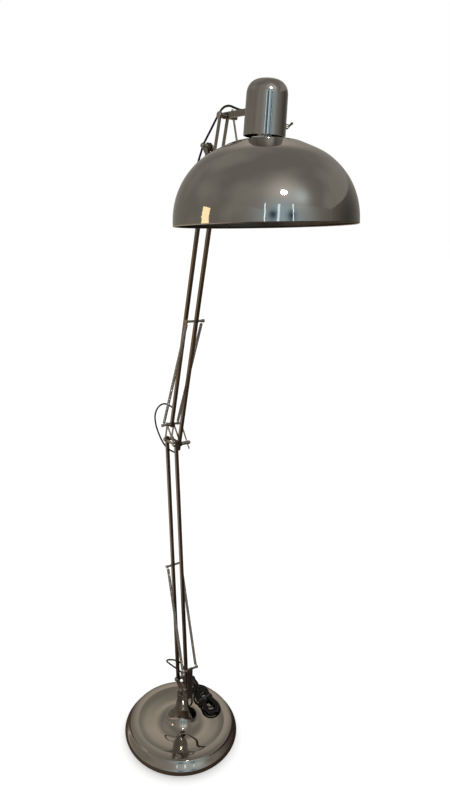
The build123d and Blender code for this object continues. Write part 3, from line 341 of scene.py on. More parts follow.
lead_way += hank_turn(-0.0195, 0.0405, LOBES[2], LOBES[1], WAISTS[2], WAISTS[1], UPPER_TURNS, UPPER_TURNS)
last_turn = hank_turn(-0.0200, 0.0430, LOBES[1], LOBES[0], WAISTS[1], WAISTS[0], UPPER_TURNS, UPPER_TURNS)
lead_way += last_turn[:10]
lead_way += [
    hank_place(0.012, -0.0222, UPPER_TURNS), hank_place(-0.006, -0.0244, UPPER_TURNS),
    hank_place(-0.0215, -0.0300, UPPER_TURNS), hank_place(-0.0380, -0.0272, UPPER_TURNS),
    hank_place(-0.0490, -0.0175, UPPER_TURNS), hank_place(-0.0570, -0.0060, UPPER_TURNS),
    hank_place(-0.0655, -0.0006, 0.0694), hank_place(-0.0732, 0.0, 0.0680),
]
mains, mains_line = sheathed("mains_flex", lead_way, FLEX, flex_sheath)
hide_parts("mains_lead", "lead_hank")
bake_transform(mains)

# ---------------------------------------------------------------- hank tie
# A strip of soft black plastic holds the turns together at the middle of the hank.
# It is wrapped once round them all, as a closed band with rounded corners.

STRAP_SIZE = (0.009, 0.0526, 0.0120)
STRAP_CORNER = 0.0050
STRAP_THICKNESS = 0.0010
STRAP_TILT = math.radians(9.2)

bpy.ops.object.select_all(action="DESELECT")
bpy.ops.mesh.primitive_cube_add(size=1.0, location=(0.0, 0.0, 0.0))
tie = bpy.context.active_object
tie.name = tie.data.name = "hank_strap"
tie.scale = STRAP_SIZE
bpy.ops.object.transform_apply(location=False, rotation=False, scale=True)
bpy.ops.object.mode_set(mode="EDIT")
bpy.ops.mesh.select_mode(type="FACE")
bpy.ops.mesh.select_all(action="DESELECT")
bpy.ops.object.mode_set(mode="OBJECT")
for face in tie.data.polygons:
    face.select = abs(face.normal.x) > 0.9
bpy.ops.object.mode_set(mode="EDIT")
bpy.ops.mesh.delete(type="FACE")
bpy.ops.mesh.select_mode(type="EDGE")
bpy.ops.mesh.select_all(action="DESELECT")
bpy.ops.object.mode_set(mode="OBJECT")
for edge in tie.data.edges:
    a, b = (tie.data.vertices[i].co for i in edge.vertices)
    edge.select = abs(a.x - b.x) > 0.001
bpy.ops.object.mode_set(mode="EDIT")
bpy.ops.mesh.bevel(offset=STRAP_CORNER, segments=6, affect="EDGES")
bpy.ops.mesh.select_all(action="SELECT")
bpy.ops.mesh.normals_make_consistent(inside=False)
bpy.ops.mesh.select_mode(type="VERT")
bpy.ops.object.mode_set(mode="OBJECT")
wall = tie.modifiers.new("wall", "SOLIDIFY")
wall.thickness = STRAP_THICKNESS
wall.offset = 1.0
soft_edge = tie.modifiers.new("soft_edge", "BEVEL")
soft_edge.width = 0.0003
soft_edge.segments = 2
for modifier in list(tie.modifiers):
    bpy.ops.object.modifier_apply(modifier=modifier.name)
bpy.ops.object.shade_smooth_by_angle(angle=math.radians(40))
tie_middle = Vector(hank_place(0.0, -0.001, (LOWER_TURNS + UPPER_TURNS) / 2))
strap_turn = Matrix.Rotation(HANK_TURN, 4, "Z") @ Matrix.Rotation(STRAP_TILT, 4, "X")
tie.data.transform(Matrix.Translation(tie_middle) @ strap_turn)
soft_black, _, _ = marked_finish(
    "soft_black_plastic", (0.012, 0.012, 0.012), (0.024, 0.023, 0.022), 0.0, 0.4, 0.6, 0.3, smear_scale=80.0)
tie.data.materials.clear()
tie.data.materials.append(soft_black)
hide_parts("hank_tie")
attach(tie, "base")

# ---------------------------------------------------------------- mains plug
# Moulded black two-pin plug with a waisted grip, a ribbed boot over the end of the flex
# and two round nickel pins.

GRIP_LENGTH, GRIP_WIDTH, GRIP_HEIGHT = 0.034, 0.024, 0.015
PIN_RADIUS = 0.0022
PIN_LENGTH = 0.015
PIN_OFFSET = 0.007
BOOT_START, BOOT_END = Vector((-0.0150, 0.0, 0.0)), Vector((-0.0262, 0.0008, 0.0017))
BOOT_WIDE, BOOT_NARROW = 0.0052, 0.0037
BOOT_RIBS = ((0.42, 0.0047), (0.66, 0.0043), (0.90, 0.0040))  # share of the boot's length, radius
RIB_HALF = 0.0007

bpy.ops.object.select_all(action="DESELECT")
bpy.ops.mesh.primitive_cube_add(size=1.0, location=(0.0, 0.0, 0.0))
plug = bpy.context.active_object
plug.name = plug.data.name = "plug_body"
plug.scale = (GRIP_LENGTH, GRIP_WIDTH, GRIP_HEIGHT)
bpy.ops.object.transform_apply(location=False, rotation=False, scale=True)
bpy.ops.object.mode_set(mode="EDIT")
bpy.ops.mesh.select_all(action="SELECT")
bpy.ops.mesh.subdivide(number_cuts=5)
bpy.ops.object.mode_set(mode="OBJECT")
for vertex in plug.data.vertices:
    share = vertex.co.x / GRIP_LENGTH + 0.5
    waist = 0.62 + 0.38 * min(1.0, share * 1.35) - 0.10 * math.exp(-((share - 0.36) / 0.13) ** 2)
    vertex.co.y *= waist
    vertex.co.z *= 0.72 + 0.28 * min(1.0, share * 1.5)
rounding = plug.modifiers.new("rounding", "BEVEL")
rounding.width = 0.0022
rounding.segments = 3
rounding.limit_method = "ANGLE"
rounding.angle_limit = math.radians(50)
bpy.ops.object.modifier_apply(modifier=rounding.name)
smooth = plug.modifiers.new("smooth", "SUBSURF")
smooth.levels = 1
smooth.render_levels = 1
bpy.ops.object.modifier_apply(modifier=smooth.name)
boot_turn = (BOOT_END - BOOT_START).to_track_quat("Z", "Y").to_euler()
bpy.ops.object.select_all(action="DESELECT")
bpy.ops.mesh.primitive_cone_add(
    vertices=32, radius1=BOOT_WIDE, radius2=BOOT_NARROW, depth=(BOOT_END - BOOT_START).length,
    location=(BOOT_START + BOOT_END) / 2, rotation=boot_turn)
boot = [bpy.context.active_object]
for share, rib in BOOT_RIBS:
    bpy.ops.mesh.primitive_torus_add(
        major_radius=rib, minor_radius=RIB_HALF, major_segments=32, minor_segments=10,
        location=BOOT_START.lerp(BOOT_END, share), rotation=boot_turn)
    boot.append(bpy.context.active_object)
for piece in boot:
    only(piece)
    bpy.ops.object.transform_apply(location=True, rotation=True, scale=True)
only(plug)
for piece in boot:
    piece.select_set(True)
bpy.ops.object.join()
bpy.ops.object.shade_smooth_by_angle(angle=math.radians(50))
plug_parts = [plug]
for side in (-1, 1):
    bpy.ops.object.select_all(action="DESELECT")
    bpy.ops.mesh.primitive_cylinder_add(
        vertices=24, radius=PIN_RADIUS, depth=PIN_LENGTH,
        location=((GRIP_LENGTH + PIN_LENGTH) / 2, side * PIN_OFFSET, 0.0),
        rotation=(0, math.radians(90), 0))
    pin = bpy.context.active_object
    pin.name = "plug_pin_left" if side < 0 else "plug_pin_right"
    bpy.ops.object.transform_apply(location=True, rotation=True, scale=True)
    nose = pin.modifiers.new("nose", "BEVEL")
    nose.width = 0.0009
    nose.segments = 3
    nose.limit_method = "ANGLE"
    bpy.ops.object.modifier_apply(modifier=nose.name)
    bpy.ops.object.shade_smooth_by_angle(angle=math.radians(40))
    plug_parts.append(pin)
plug_middle = Vector(hank_place(-0.0902, 0.0, 0.068))
plug_place = Matrix.Translation(plug_middle) @ Matrix.Rotation(HANK_TURN + math.pi, 4, "Z")
pin_nickel, _, _ = marked_finish(
    "pin_nickel", (0.62, 0.60, 0.56), (0.52, 0.50, 0.46), 1.0, 0.16, 0.3, 0.15, smear_scale=120.0)
for part in plug_parts:
    part.data.transform(plug_place)
    part.data.materials.clear()
    part.data.materials.append(soft_black if part is plug else pin_nickel)
    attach(part, "base")
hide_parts("mains_plug")

# ---------------------------------------------------------------- room
# Plain pale floor, and a room that only reflections see: a dark floor lit on one side, and
# warm grey walls and ceiling with paler and darker parts. Soft lights stand in for its
# ceiling lamp, for the strips of its window and for its doorway.

bpy.context.scene.view_settings.view_transform = "Standard"
bpy.ops.object.select_all(action="DESELECT")
bpy.ops.mesh.primitive_plane_add(size=80.0, location=(0.0, 0.0, -0.0002))
floor = bpy.context.active_object
floor.name = "pale_floor"
pale = bpy.data.materials.new("pale_floor")
pale.use_nodes = True
pale_nodes, pale_links = pale.node_tree.nodes, pale.node_tree.links
pale_nodes.clear()
seen_floor = pale_nodes.new("ShaderNodeBsdfDiffuse")
seen_floor.inputs["Color"].default_value = (0.66, 0.66, 0.66, 1.0)
lit_floor = pale_nodes.new("ShaderNodeEmission")
lit_floor.inputs["Color"].default_value = (1.0, 1.0, 1.0, 1.0)
lit_floor.inputs["Strength"].default_value = 0.42
floor_glow = pale_nodes.new("ShaderNodeAddShader")
mirrored_floor = pale_nodes.new("ShaderNodeEmission")
mirrored_floor.inputs["Strength"].default_value = 1.0
floor_place = pale_nodes.new("ShaderNodeTexCoord")
floor_cloud = pale_nodes.new("ShaderNodeTexNoise")
floor_cloud.inputs["Scale"].default_value = 0.55
floor_cloud.inputs["Detail"].default_value = 1.0
floor_tone = pale_nodes.new("ShaderNodeValToRGB")
floor_tone.color_ramp.elements[0].position = 0.40
floor_tone.color_ramp.elements[0].color = (0.042, 0.031, 0.024, 1.0)
floor_tone.color_ramp.elements[1].position = 0.64
floor_tone.color_ramp.elements[1].color = (0.130, 0.094, 0.066, 1.0)
across_floor = pale_nodes.new("ShaderNodeVectorMath")
across_floor.operation = "DOT_PRODUCT"
across_floor.inputs[1].default_value = (-0.85, -0.53, 0.0)
lit_side = pale_nodes.new("ShaderNodeMapRange")
lit_side.inputs["From Min"].default_value = 0.35
lit_side.inputs["From Max"].default_value = 0.95
far_side = pale_nodes.new("ShaderNodeMapRange")
far_side.inputs["From Min"].default_value = 1.8
far_side.inputs["From Max"].default_value = 6.0
lit_tone = pale_nodes.new("ShaderNodeMix")
lit_tone.data_type = "RGBA"
lit_tone.inputs["A"].default_value = (0.60, 0.53, 0.46, 1.0)
lit_tone.inputs["B"].default_value = (0.42, 0.31, 0.17, 1.0)
floor_colour = pale_nodes.new("ShaderNodeMix")
floor_colour.data_type = "RGBA"
pale_links.new(floor_place.outputs["Object"], across_floor.inputs[0])
pale_links.new(across_floor.outputs["Value"], lit_side.inputs["Value"])
pale_links.new(across_floor.outputs["Value"], far_side.inputs["Value"])
pale_links.new(far_side.outputs["Result"], lit_tone.inputs["Factor"])
pale_links.new(lit_side.outputs["Result"], floor_colour.inputs["Factor"])
pale_links.new(floor_tone.outputs["Color"], floor_colour.inputs["A"])
pale_links.new(lit_tone.outputs["Result"], floor_colour.inputs["B"])
ray_kind = pale_nodes.new("ShaderNodeLightPath")
floor_choice = pale_nodes.new("ShaderNodeMixShader")
floor_out = pale_nodes.new("ShaderNodeOutputMaterial")
pale_links.new(floor_place.outputs["Object"], floor_cloud.inputs["Vector"])
pale_links.new(floor_cloud.outputs["Fac"], floor_tone.inputs["Fac"])
pale_links.new(floor_colour.outputs["Result"], mirrored_floor.inputs["Color"])
pale_links.new(seen_floor.outputs["BSDF"], floor_glow.inputs[0])
pale_links.new(lit_floor.outputs["Emission"], floor_glow.inputs[1])
pale_links.new(ray_kind.outputs["Is Glossy Ray"], floor_choice.inputs["Fac"])
pale_links.new(floor_glow.outputs["Shader"], floor_choice.inputs[1])
pale_links.new(mirrored_floor.outputs["Emission"], floor_choice.inputs[2])
pale_links.new(floor_choice.outputs["Shader"], floor_out.inputs["Surface"])
floor.data.materials.append(pale)

room = bpy.context.scene.world or bpy.data.worlds.new("room")
bpy.context.scene.world = room
room.use_nodes = True
room_nodes, room_links = room.node_tree.nodes, room.node_tree.links
room_nodes.clear()
way = room_nodes.new("ShaderNodeTexCoord")
clouds = room_nodes.new("ShaderNodeTexNoise")
clouds.inputs["Scale"].default_value = 1.6
clouds.inputs["Detail"].default_value = 1.0
room_links.new(way.outputs["Generated"], clouds.inputs["Vector"])


def room_tone(dark, light):
    """Uneven tone of one kind of room surface."""
    tone = room_nodes.new("ShaderNodeValToRGB")
    tone.color_ramp.elements[0].position = 0.38
    tone.color_ramp.elements[0].color = (*dark, 1.0)
    tone.color_ramp.elements[1].position = 0.62
    tone.color_ramp.elements[1].color = (*light, 1.0)
    room_links.new(clouds.outputs["Fac"], tone.inputs["Fac"])
    return tone.outputs["Color"]


walls = room_tone((0.265, 0.245, 0.212), (0.345, 0.322, 0.282))
ceiling = room_tone((0.255, 0.238, 0.212), (0.345, 0.325, 0.292))
split = room_nodes.new("ShaderNodeSeparateXYZ")
room_links.new(way.outputs["Generated"], split.inputs["Vector"])
sideways = []
for axis in ("X", "Y"):
    reach = room_nodes.new("ShaderNodeMath")
    reach.operation = "ABSOLUTE"
    room_links.new(split.outputs[axis], reach.inputs[0])
    sideways.append(reach)
widest = room_nodes.new("ShaderNodeMath")
widest.operation = "MAXIMUM"
room_links.new(sideways[0].outputs["Value"], widest.inputs[0])
room_links.new(sideways[1].outputs["Value"], widest.inputs[1])
steepness = room_nodes.new("ShaderNodeMath")
steepness.operation = "DIVIDE"
room_links.new(split.outputs["Z"], steepness.inputs[0])
room_links.new(widest.outputs["Value"], steepness.inputs[1])
cornice = room_nodes.new("ShaderNodeMapRange")
cornice.inputs["From Min"].default_value = 0.375
cornice.inputs["From Max"].default_value = 0.400
room_links.new(steepness.outputs["Value"], cornice.inputs["Value"])


def add_glow(below, toward, tightness, colour):
    """Bring the room to another colour round one direction, and return the new colour socket."""
    nearness = room_nodes.new("ShaderNodeVectorMath")
    nearness.operation = "DOT_PRODUCT"
    nearness.inputs[1].default_value = Vector(toward).normalized()
    room_links.new(way.outputs["Generated"], nearness.inputs[0])
    front = room_nodes.new("ShaderNodeMath")
    front.operation = "MAXIMUM"
    front.inputs[1].default_value = 0.0
    room_links.new(nearness.outputs["Value"], front.inputs[0])
    fall = room_nodes.new("ShaderNodeMath")
    fall.operation = "POWER"
    fall.inputs[1].default_value = tightness
    room_links.new(front.outputs["Value"], fall.inputs[0])
    mix = room_nodes.new("ShaderNodeMix")
    mix.data_type = "RGBA"
    mix.inputs["B"].default_value = (*colour, 1.0)
    room_links.new(fall.outputs["Value"], mix.inputs["Factor"])
    room_links.new(below, mix.inputs["A"])
    return mix.outputs["Result"]


cool_wall = add_glow(walls, (0.95, -0.30, 0.10), 6.0, (0.50, 0.60, 0.64))
dim_wall = add_glow(cool_wall, (0.25, 0.97, 0.05), 5.0, (0.085, 0.078, 0.068))
room_paint = room_nodes.new("ShaderNodeMix")
room_paint.data_type = "RGBA"
room_links.new(cornice.outputs["Result"], room_paint.inputs["Factor"])
room_links.new(dim_wall, room_paint.inputs["A"])
room_links.new(ceiling, room_paint.inputs["B"])
tone = room_paint.outputs["Result"]
for toward, tightness, colour in (
    ((-0.62, 0.45, 0.64), 45.0, (0.60, 0.535, 0.455)),  # lit part of the ceiling, behind the lamp
    ((0.74, -0.231, 0.632), 16.0, (0.80, 0.76, 0.70)),  # warm light round the ceiling lamp
    ((0.843, 0.048, 0.535), 60.0, (0.82, 0.90, 0.92)),  # cool light beside it
    ((0.90, -0.36, 0.20), 22.0, (0.56, 0.72, 0.80)),  # daylight round the window
    ((0.838, -0.504, 0.190), 220.0, (0.05, 0.095, 0.14)),  # left pane
    ((0.966, -0.153, 0.190), 220.0, (0.05, 0.095, 0.14)),  # right pane
):
    tone = add_glow(tone, toward, tightness, colour)
mirrored_room = room_nodes.new("ShaderNodeBackground")
room_links.new(tone, mirrored_room.inputs["Color"])
seen_room = room_nodes.new("ShaderNodeBackground")
seen_room.inputs["Color"].default_value = (1.0, 1.0, 1.0, 1.0)
seen_room.inputs["Strength"].default_value = 1.0
room_ray = room_nodes.new("ShaderNodeLightPath")
room_choice = room_nodes.new("ShaderNodeMixShader")
room_out = room_nodes.new("ShaderNodeOutputWorld")
room_links.new(room_ray.outputs["Is Glossy Ray"], room_choice.inputs["Fac"])
room_links.new(seen_room.outputs["Background"], room_choice.inputs[1])
room_links.new(mirrored_room.outputs["Background"], room_choice.inputs[2])
room_links.new(room_choice.outputs["Shader"], room_out.inputs["Surface"])


def soft_light(name, place, aim, width, height, power, colour, shape="RECTANGLE"):
    """Area light at a place, turned to face a point."""
    lamp = bpy.data.lights.new(name, "AREA")
    lamp.shape = shape
    lamp.size = width
    lamp.size_y = height
    lamp.energy = power
    lamp.color = colour
    holder = bpy.data.objects.new(name, lamp)
    holder.location = place
    holder.rotation_euler = (Vector(aim) - Vector(place)).to_track_quat("-Z", "Y").to_euler()
    bpy.context.scene.collection.objects.link(holder)
    return holder


over_shade, over_cap = (0.40, -0.10, 1.76), (0.30, 0.0, 1.85)
soft_light("ceiling_lamp", (1.907, -0.561, 3.027), over_shade, 0.22, 0.22, 9.0, (1.0, 0.97, 0.90), "DISK")
soft_light("window_left", (2.62, -2.05, 2.35), over_cap, 0.05, 1.3, 0.50, (0.74, 0.90, 1.0))
soft_light("window_middle", (3.14, -1.36, 2.35), over_cap, 0.14, 1.3, 0.75, (0.74, 0.90, 1.0))
soft_light("window_right", (3.40, -0.45, 2.35), over_cap, 0.05, 1.3, 0.50, (0.74, 0.90, 1.0))
soft_light("doorway", (-0.97, -2.91, 1.95), (0.25, -0.20, 1.75), 0.62, 0.85, 3.4, (1.0, 0.80, 0.44))

# ---------------------------------------------------------------- weighted base
# Spun steel shell over a cast-iron disc, polished and plated in dark nickel.
# A bulging rim, a shallow dish and a trumpet neck turned in one piece; felt underneath.


def finish_nodes(material, *names):
    """Give carried-over nodes their finish."""
    for name in names:
        node = frame["nodes"][name]
        node.data.materials.clear()
        node.data.materials.append(material)
        only(node)
        bpy.ops.object.shade_smooth_by_angle(angle=math.radians(30))


shell_nickel, _, _ = marked_finish(
    "dark_nickel_base", (0.50, 0.47, 0.43), (0.42, 0.395, 0.36), 1.0, 0.03, 0.085, 0.03,
    smear_scale=9.0, wipe_scale=60.0, dust=0.08)
finish_nodes(shell_nickel, "base_shell")

cast_iron, _, _ = marked_finish(
    "cast_iron", (0.05, 0.05, 0.05), (0.09, 0.085, 0.08), 0.9, 0.5, 0.75, 0.8, smear_scale=120.0)
finish_nodes(cast_iron, "base_ballast")

felt, felt_graph, felt_shader = new_material("base_felt")
felt_place = felt_graph.nodes.new("ShaderNodeTexCoord")
felt_hair = felt_graph.nodes.new("ShaderNodeTexNoise")
felt_hair.inputs["Scale"].default_value = 900.0
felt_hair.inputs["Detail"].default_value = 4.0
felt_tone = felt_graph.nodes.new("ShaderNodeValToRGB")
felt_tone.color_ramp.elements[0].color = (0.012, 0.012, 0.013, 1.0)
felt_tone.color_ramp.elements[1].color = (0.06, 0.06, 0.062, 1.0)
felt_bump = felt_graph.nodes.new("ShaderNodeBump")
felt_bump.inputs["Strength"].default_value = 0.7
felt_bump.inputs["Distance"].default_value = 0.0006
felt_graph.links.new(felt_place.outputs["Object"], felt_hair.inputs["Vector"])
felt_graph.links.new(felt_hair.outputs["Fac"], felt_tone.inputs["Fac"])
felt_graph.links.new(felt_tone.outputs["Color"], felt_shader.inputs["Base Color"])
felt_graph.links.new(felt_hair.outputs["Fac"], felt_bump.inputs["Height"])
felt_graph.links.new(felt_bump.outputs["Normal"], felt_shader.inputs["Normal"])
felt_shader.inputs["Roughness"].default_value = 0.95
felt_shader.inputs["Sheen Weight"].default_value = 0.4
finish_nodes(felt, "base_foot_pad")

# ---------------------------------------------------------------- swivel bracket
# Turned collar on the neck, and above it the steel bracket that turns on a swivel pin:
# two cheek plates, and a flat upright that carries the lower ends of the springs.

plate_nickel, _, _ = marked_finish(
    "dark_nickel_plate", (0.42, 0.385, 0.345), (0.30, 0.275, 0.245), 1.0, 0.07, 0.2, 0.08,
    smear_scale=40.0, wipe_scale=140.0)
finish_nodes(
    plate_nickel, "neck_collar", "swivel_post", "base_cheek_near", "base_cheek_far", "spring_upright")

fitting_nickel, _, _ = marked_finish(
    "bright_nickel_fitting", (0.54, 0.515, 0.48), (0.42, 0.40, 0.37), 1.0, 0.10, 0.24, 0.08,
    smear_scale=60.0, wipe_scale=160.0)
finish_nodes(
    fitting_nickel, "collar_set_screw", "base_bolts", "base_nuts", "base_bushes", "lower_spring_anchor")

clip_black, _, _ = marked_finish(
    "satin_black_plastic", (0.014, 0.014, 0.014), (0.03, 0.03, 0.03), 0.0, 0.35, 0.55, 0.2, smear_scale=70.0)
finish_nodes(clip_black, "cable_clip")

# ---------------------------------------------------------------- square arm tubes
# Four lengths of 10 mm square steel tube, plated dark nickel. Pressed-in black plugs
# close their open ends, and rubber rings line the cable holes.

tube_nickel, _, _ = marked_finish(
    "dark_nickel_tube", (0.36, 0.325, 0.285), (0.25, 0.225, 0.195), 1.0, 0.09, 0.2, 0.06,
    smear_scale=24.0, wipe_scale=110.0)
finish_nodes(tube_nickel, "lower_front_tube", "lower_rear_tube", "upper_front_tube", "upper_rear_tube")

rubber, _, _ = marked_finish(
    "black_rubber", (0.014, 0.014, 0.014), (0.026, 0.025, 0.024), 0.0, 0.55, 0.75, 0.4, smear_scale=150.0)
finish_nodes(rubber, "lower_grommets", "upper_grommets")

END_PLUG_WIDTH = 0.0079
END_PLUG_DEPTH = 0.005
END_PLUG_INSET = 0.0028
LOWER_LAYER = -0.0053
UPPER_LAYER = 0.0053


def plug_tube_ends(body, foot, head, below, layer, above=0.009):
    """Black plastic plugs pressed flush into both ends of one tube."""
    way = Vector((head.x - foot.x, 0.0, head.z - foot.z)).normalized()
    lean = math.atan2(way.x, way.z)
    bpy.ops.object.select_all(action="DESELECT")
    ends = []
    for place, side in ((foot - way * below, -1), (head + way * above, 1)):
        bpy.ops.mesh.primitive_cube_add(size=1.0)
        end = bpy.context.active_object
        end.scale = (END_PLUG_WIDTH, END_PLUG_WIDTH, END_PLUG_DEPTH)
        bpy.ops.object.transform_apply(location=False, rotation=False, scale=True)
        bpy.ops.object.mode_set(mode="EDIT")
        bpy.ops.mesh.select_all(action="SELECT")
        bpy.ops.mesh.bevel(offset=0.0007, segments=2, affect="EDGES")
        bpy.ops.object.mode_set(mode="OBJECT")
        centre = place - way * side * END_PLUG_INSET
        end.data.transform(
            Matrix.Translation((centre.x, layer, centre.z)) @ Matrix.Rotation(lean, 4, "Y"))
        ends.append(end)
    only(ends[1])
    ends[0].select_set(True)
    bpy.ops.object.join()
    pair = ends[1]
    pair.name = pair.data.name = body + "_plugs"
    bpy.ops.object.shade_smooth_by_angle(angle=math.radians(30))
    pair.data.materials.clear()
    pair.data.materials.append(clip_black)
    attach(pair, body)


elbow_rear = pivot["lower_rear_link"] + (pivot["elbow_level"] - pivot["lower_arm"])
head_front = pivot["upper_arm"] + (pivot["head_level"] - pivot["upper_rear_link"])
plug_tube_ends("lower_front", pivot["lower_arm"], pivot["elbow_level"], 0.006, LOWER_LAYER)
plug_tube_ends("lower_rear", pivot["lower_rear_link"], elbow_rear, 0.009, LOWER_LAYER)
plug_tube_ends("upper_front", pivot["upper_arm"], head_front, 0.021, UPPER_LAYER)
plug_tube_ends("upper_rear", pivot["upper_rear_link"], pivot["head_level"], 0.009, UPPER_LAYER)

# ---------------------------------------------------------------- balance springs
# Four tension springs of 1.4 mm plated wire, close wound to 9 mm outside, one pair to
# each arm. At both ends the wire runs into a straight shank and an eye on a rod.

spring_wire, _, _ = marked_finish(
    "plated_spring_wire", (0.68, 0.65, 0.60), (0.50, 0.47, 0.43), 1.0, 0.14, 0.3, 0.1,
    smear_scale=90.0, wipe_scale=200.0)
finish_nodes(fitting_nickel, "lower_crosspiece", "upper_crosspiece")
WIRE = 0.0014
COIL_MEAN = 0.0039  # radius of the coil to the middle of its wire
EYE = 0.00465
SHANK = 0.0035
PITCH = 0.00152


def wind_spring(name, foot, head, layer):
    """Close-wound spring between two anchor rods, with an eye at each end."""
    span = math.hypot(head.x - foot.x, head.z - foot.z)
    lean = math.atan2(head.x - foot.x, head.z - foot.z)
    start = EYE + SHANK
    turns = int((span - 2 * start) / PITCH)
    start = (span - turns * PITCH) / 2
    bpy.ops.object.select_all(action="DESELECT")
    bpy.ops.mesh.primitive_circle_add(
        vertices=6, radius=WIRE / 2, location=(COIL_MEAN, 0.0, start), rotation=(math.radians(90), 0, 0))
    coil = bpy.context.active_object
    bpy.ops.object.transform_apply(location=True, rotation=True, scale=True)
    wound = coil.modifiers.new("wound", "SCREW")
    wound.axis = "Z"
    wound.screw_offset = PITCH
    wound.iterations = turns
    wound.steps = 12
    wound.render_steps = 12
    wound.use_smooth_shade = True
    bpy.ops.object.modifier_apply(modifier=wound.name)
    parts = [coil]
    for at, side in ((0.0, 1), (span, -1)):
        bpy.ops.object.select_all(action="DESELECT")
        bpy.ops.mesh.primitive_torus_add(
            major_radius=EYE, minor_radius=WIRE / 2, major_segments=28, minor_segments=8,
            location=(0.0, 0.0, at), rotation=(math.radians(90), 0, 0))
        bpy.ops.object.transform_apply(location=True, rotation=True, scale=True)
        parts.append(bpy.context.active_object)
        reach = start - EYE + WIRE
        middle = at + side * (EYE + reach / 2)
        bpy.ops.object.select_all(action="DESELECT")
        bpy.ops.mesh.primitive_cylinder_add(
            vertices=8, radius=WIRE / 2, depth=reach, location=(0.0, 0.0, middle))
        shank = bpy.context.active_object
        bpy.ops.object.transform_apply(location=True, rotation=True, scale=True)
        bpy.ops.object.mode_set(mode="EDIT")
        bpy.ops.mesh.select_all(action="SELECT")
        bpy.ops.mesh.bevel(offset=0.0003, segments=1, affect="EDGES")
        bpy.ops.object.mode_set(mode="OBJECT")
        parts.append(shank)
        # small ring that carries the wire from the coil in to the shank
        bpy.ops.object.select_all(action="DESELECT")
        bpy.ops.mesh.primitive_torus_add(
            major_radius=COIL_MEAN / 2, minor_radius=WIRE / 2, major_segments=20, minor_segments=8,
            location=(COIL_MEAN / 2, 0.0, at + side * start), rotation=(0, 0, 0))
        bpy.ops.object.transform_apply(location=True, rotation=True, scale=True)
        parts.append(bpy.context.active_object)
    only(coil)
    for part in parts:
        part.select_set(True)
    bpy.ops.object.join()
    coil.name = coil.data.name = name
    bpy.ops.object.mode_set(mode="EDIT")
    bpy.ops.mesh.select_all(action="SELECT")
    bpy.ops.mesh.normals_make_consistent(inside=False)
    bpy.ops.object.mode_set(mode="OBJECT")
    bpy.ops.object.shade_smooth()
    coil.data.transform(Matrix.Translation((foot.x, layer, foot.z)) @ Matrix.Rotation(lean, 4, "Y"))
    coil.data.materials.clear()
    coil.data.materials.append(spring_wire)
    return coil


def middle_of(node):
    """Centre of a carried-over node's box."""
    low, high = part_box(node)
    return (low + high) / 2


lower_anchor, lower_cross = middle_of("lower_spring_anchor"), middle_of("lower_crosspiece")
upper_anchor, upper_cross = middle_of("elbow_top_rod"), middle_of("upper_crosspiece")
for side in ("near", "far"):
    node = "lower_spring_" + side
    spring = wind_spring("lower_coil_" + side, lower_anchor, lower_cross, middle_of(node).y)
    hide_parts(node)
    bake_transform(spring)
    node = "upper_spring_" + side
    spring = wind_spring("upper_coil_" + side, upper_anchor, upper_cross, middle_of(node).y)
    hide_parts(node)
    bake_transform(spring)

# ---------------------------------------------------------------- elbow
# Two open triangular plates carry the ends of both arms on bolts, with turned bushes
# between them and a clamp lever on the front bolt.

finish_nodes(plate_nickel, "elbow_plate_near", "elbow_plate_far")
finish_nodes(fitting_nickel, "elbow_top_rod", "elbow_bolts", "elbow_bushes", "elbow_nuts", "elbow_lever")

# ---------------------------------------------------------------- head bracket
# Two bent side plates run from the arm ends up to the tilt bolt, whose large round head,
# bushes and clamp lever are bright nickel. A flat bar runs from it into the cap.

finish_nodes(plate_nickel, "fork_plate_near", "fork_plate_far", "head_bar")
finish_nodes(fitting_nickel, "head_bolts", "tilt_bolt", "head_bushes", "head_nuts", "tilt_lever")

# ---------------------------------------------------------------- shade and cap
# Spun aluminium dome with a flat crown and a rolled rim, polished dark nickel outside and a rougher
# satin inside whose darker colour is painted shade; a tall cap over the lampholder in the same nickel, with
# a toggle switch.


def polished_with_painted_inner_shade(name, light, deep, low, high, centre, threshold):
    """Polished plating, and on the faces that look inward, to the centre, a rougher satin in a darker colour
    that is painted shade.
    """
    material, graph, shader = marked_finish(
        name, light, deep, 1.0, low, high, 0.02, smear_scale=8.0, wipe_scale=50.0, dust=0.06)
    nodes, links = graph.nodes, graph.links
    place = nodes.new("ShaderNodeTexCoord")
    from_centre = nodes.new("ShaderNodeVectorMath")
    from_centre.operation = "SUBTRACT"
    from_centre.inputs[1].default_value = centre
    links.new(place.outputs["Object"], from_centre.inputs[0])
    facing = nodes.new("ShaderNodeVectorMath")
    facing.operation = "DOT_PRODUCT"
    links.new(from_centre.outputs["Vector"], facing.inputs[0])
    links.new(place.outputs["Normal"], facing.inputs[1])
    inside = nodes.new("ShaderNodeMath")
    inside.operation = "LESS_THAN"
    inside.inputs[1].default_value = threshold
    links.new(facing.outputs["Value"], inside.inputs[0])
    # painted shade: the inward faces take this darker colour in place of the plating's own
    colour = nodes.new("ShaderNodeMix")
    colour.data_type = "RGBA"
    colour.inputs["B"].default_value = (0.20, 0.185, 0.165, 1.0)
    links.new(inside.outputs["Value"], colour.inputs["Factor"])
    links.new(shader.inputs["Base Color"].links[0].from_socket, colour.inputs["A"])
    links.new(colour.outputs["Result"], shader.inputs["Base Color"])
    gloss = nodes.new("ShaderNodeMix")
    gloss.inputs["B"].default_value = 0.36
    links.new(inside.outputs["Value"], gloss.inputs["Factor"])
    links.new(shader.inputs["Roughness"].links[0].from_socket, gloss.inputs["A"])
    links.new(gloss.outputs["Result"], shader.inputs["Roughness"])
    return material


shade_low, shade_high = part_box("shade")
shade_centre = ((shade_low.x + shade_high.x) / 2, (shade_low.y + shade_high.y) / 2, shade_low.z + 0.02)
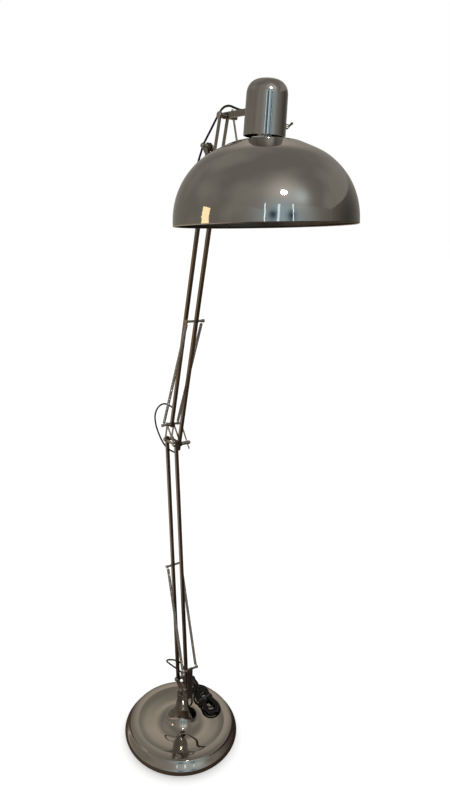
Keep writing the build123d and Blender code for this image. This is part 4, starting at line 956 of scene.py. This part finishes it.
# dark nickel outside; the inside is darkened with painted shade and given a satin gloss
shade_finish = polished_with_painted_inner_shade(
    "dark_nickel_shade", (0.46, 0.445, 0.42), (0.40, 0.385, 0.36), 0.02, 0.06, shade_centre, -0.02)
finish_nodes(shade_finish, "shade")

cap_finish, _, _ = marked_finish(
    "dark_nickel_cap", (0.48, 0.465, 0.44), (0.41, 0.395, 0.37), 1.0, 0.02, 0.06, 0.02,
    smear_scale=12.0, wipe_scale=60.0, dust=0.06)
finish_nodes(cap_finish, "cap")
finish_nodes(fitting_nickel, "shade_ring", "switch_bush")

toggle_bronze, _, _ = marked_finish(
    "toggle_bronze", (0.20, 0.165, 0.13), (0.13, 0.105, 0.085), 1.0, 0.2, 0.36, 0.1,
    smear_scale=120.0, wipe_scale=260.0)
finish_nodes(toggle_bronze, "switch_lever")

# ---------------------------------------------------------------- lampholder and bulb
# Glazed ceramic screw holder on a brass stem, and a frosted round bulb.

ceramic, _, _ = marked_finish(
    "glazed_ceramic", (0.82, 0.79, 0.73), (0.70, 0.67, 0.60), 0.0, 0.12, 0.24, 0.1, smear_scale=50.0)
finish_nodes(ceramic, "lampholder")
brass, _, _ = marked_finish(
    "turned_brass", (0.66, 0.50, 0.24), (0.50, 0.36, 0.16), 1.0, 0.2, 0.36, 0.15,
    smear_scale=90.0, wipe_scale=220.0)
finish_nodes(brass, "lampholder_stem", "bulb_cap")

bulb_frost, bulb_graph, bulb_shader = new_material("frosted_bulb")
frost_place = bulb_graph.nodes.new("ShaderNodeTexCoord")
frost_grain = bulb_graph.nodes.new("ShaderNodeTexNoise")
frost_grain.inputs["Scale"].default_value = 700.0
frost_tone = bulb_graph.nodes.new("ShaderNodeValToRGB")
frost_tone.color_ramp.elements[0].color = (0.80, 0.79, 0.76, 1.0)
frost_tone.color_ramp.elements[1].color = (0.95, 0.94, 0.92, 1.0)
frost_bump = bulb_graph.nodes.new("ShaderNodeBump")
frost_bump.inputs["Strength"].default_value = 0.15
frost_bump.inputs["Distance"].default_value = 0.0002
bulb_graph.links.new(frost_place.outputs["Object"], frost_grain.inputs["Vector"])
bulb_graph.links.new(frost_grain.outputs["Fac"], frost_tone.inputs["Fac"])
bulb_graph.links.new(frost_tone.outputs["Color"], bulb_shader.inputs["Base Color"])
bulb_graph.links.new(frost_grain.outputs["Fac"], frost_bump.inputs["Height"])
bulb_graph.links.new(frost_bump.outputs["Normal"], bulb_shader.inputs["Normal"])
bulb_shader.inputs["Roughness"].default_value = 0.4
bulb_shader.inputs["Subsurface Weight"].default_value = 0.3
bulb_shader.inputs["Coat Weight"].default_value = 0.3
finish_nodes(bulb_frost, "bulb_glass")
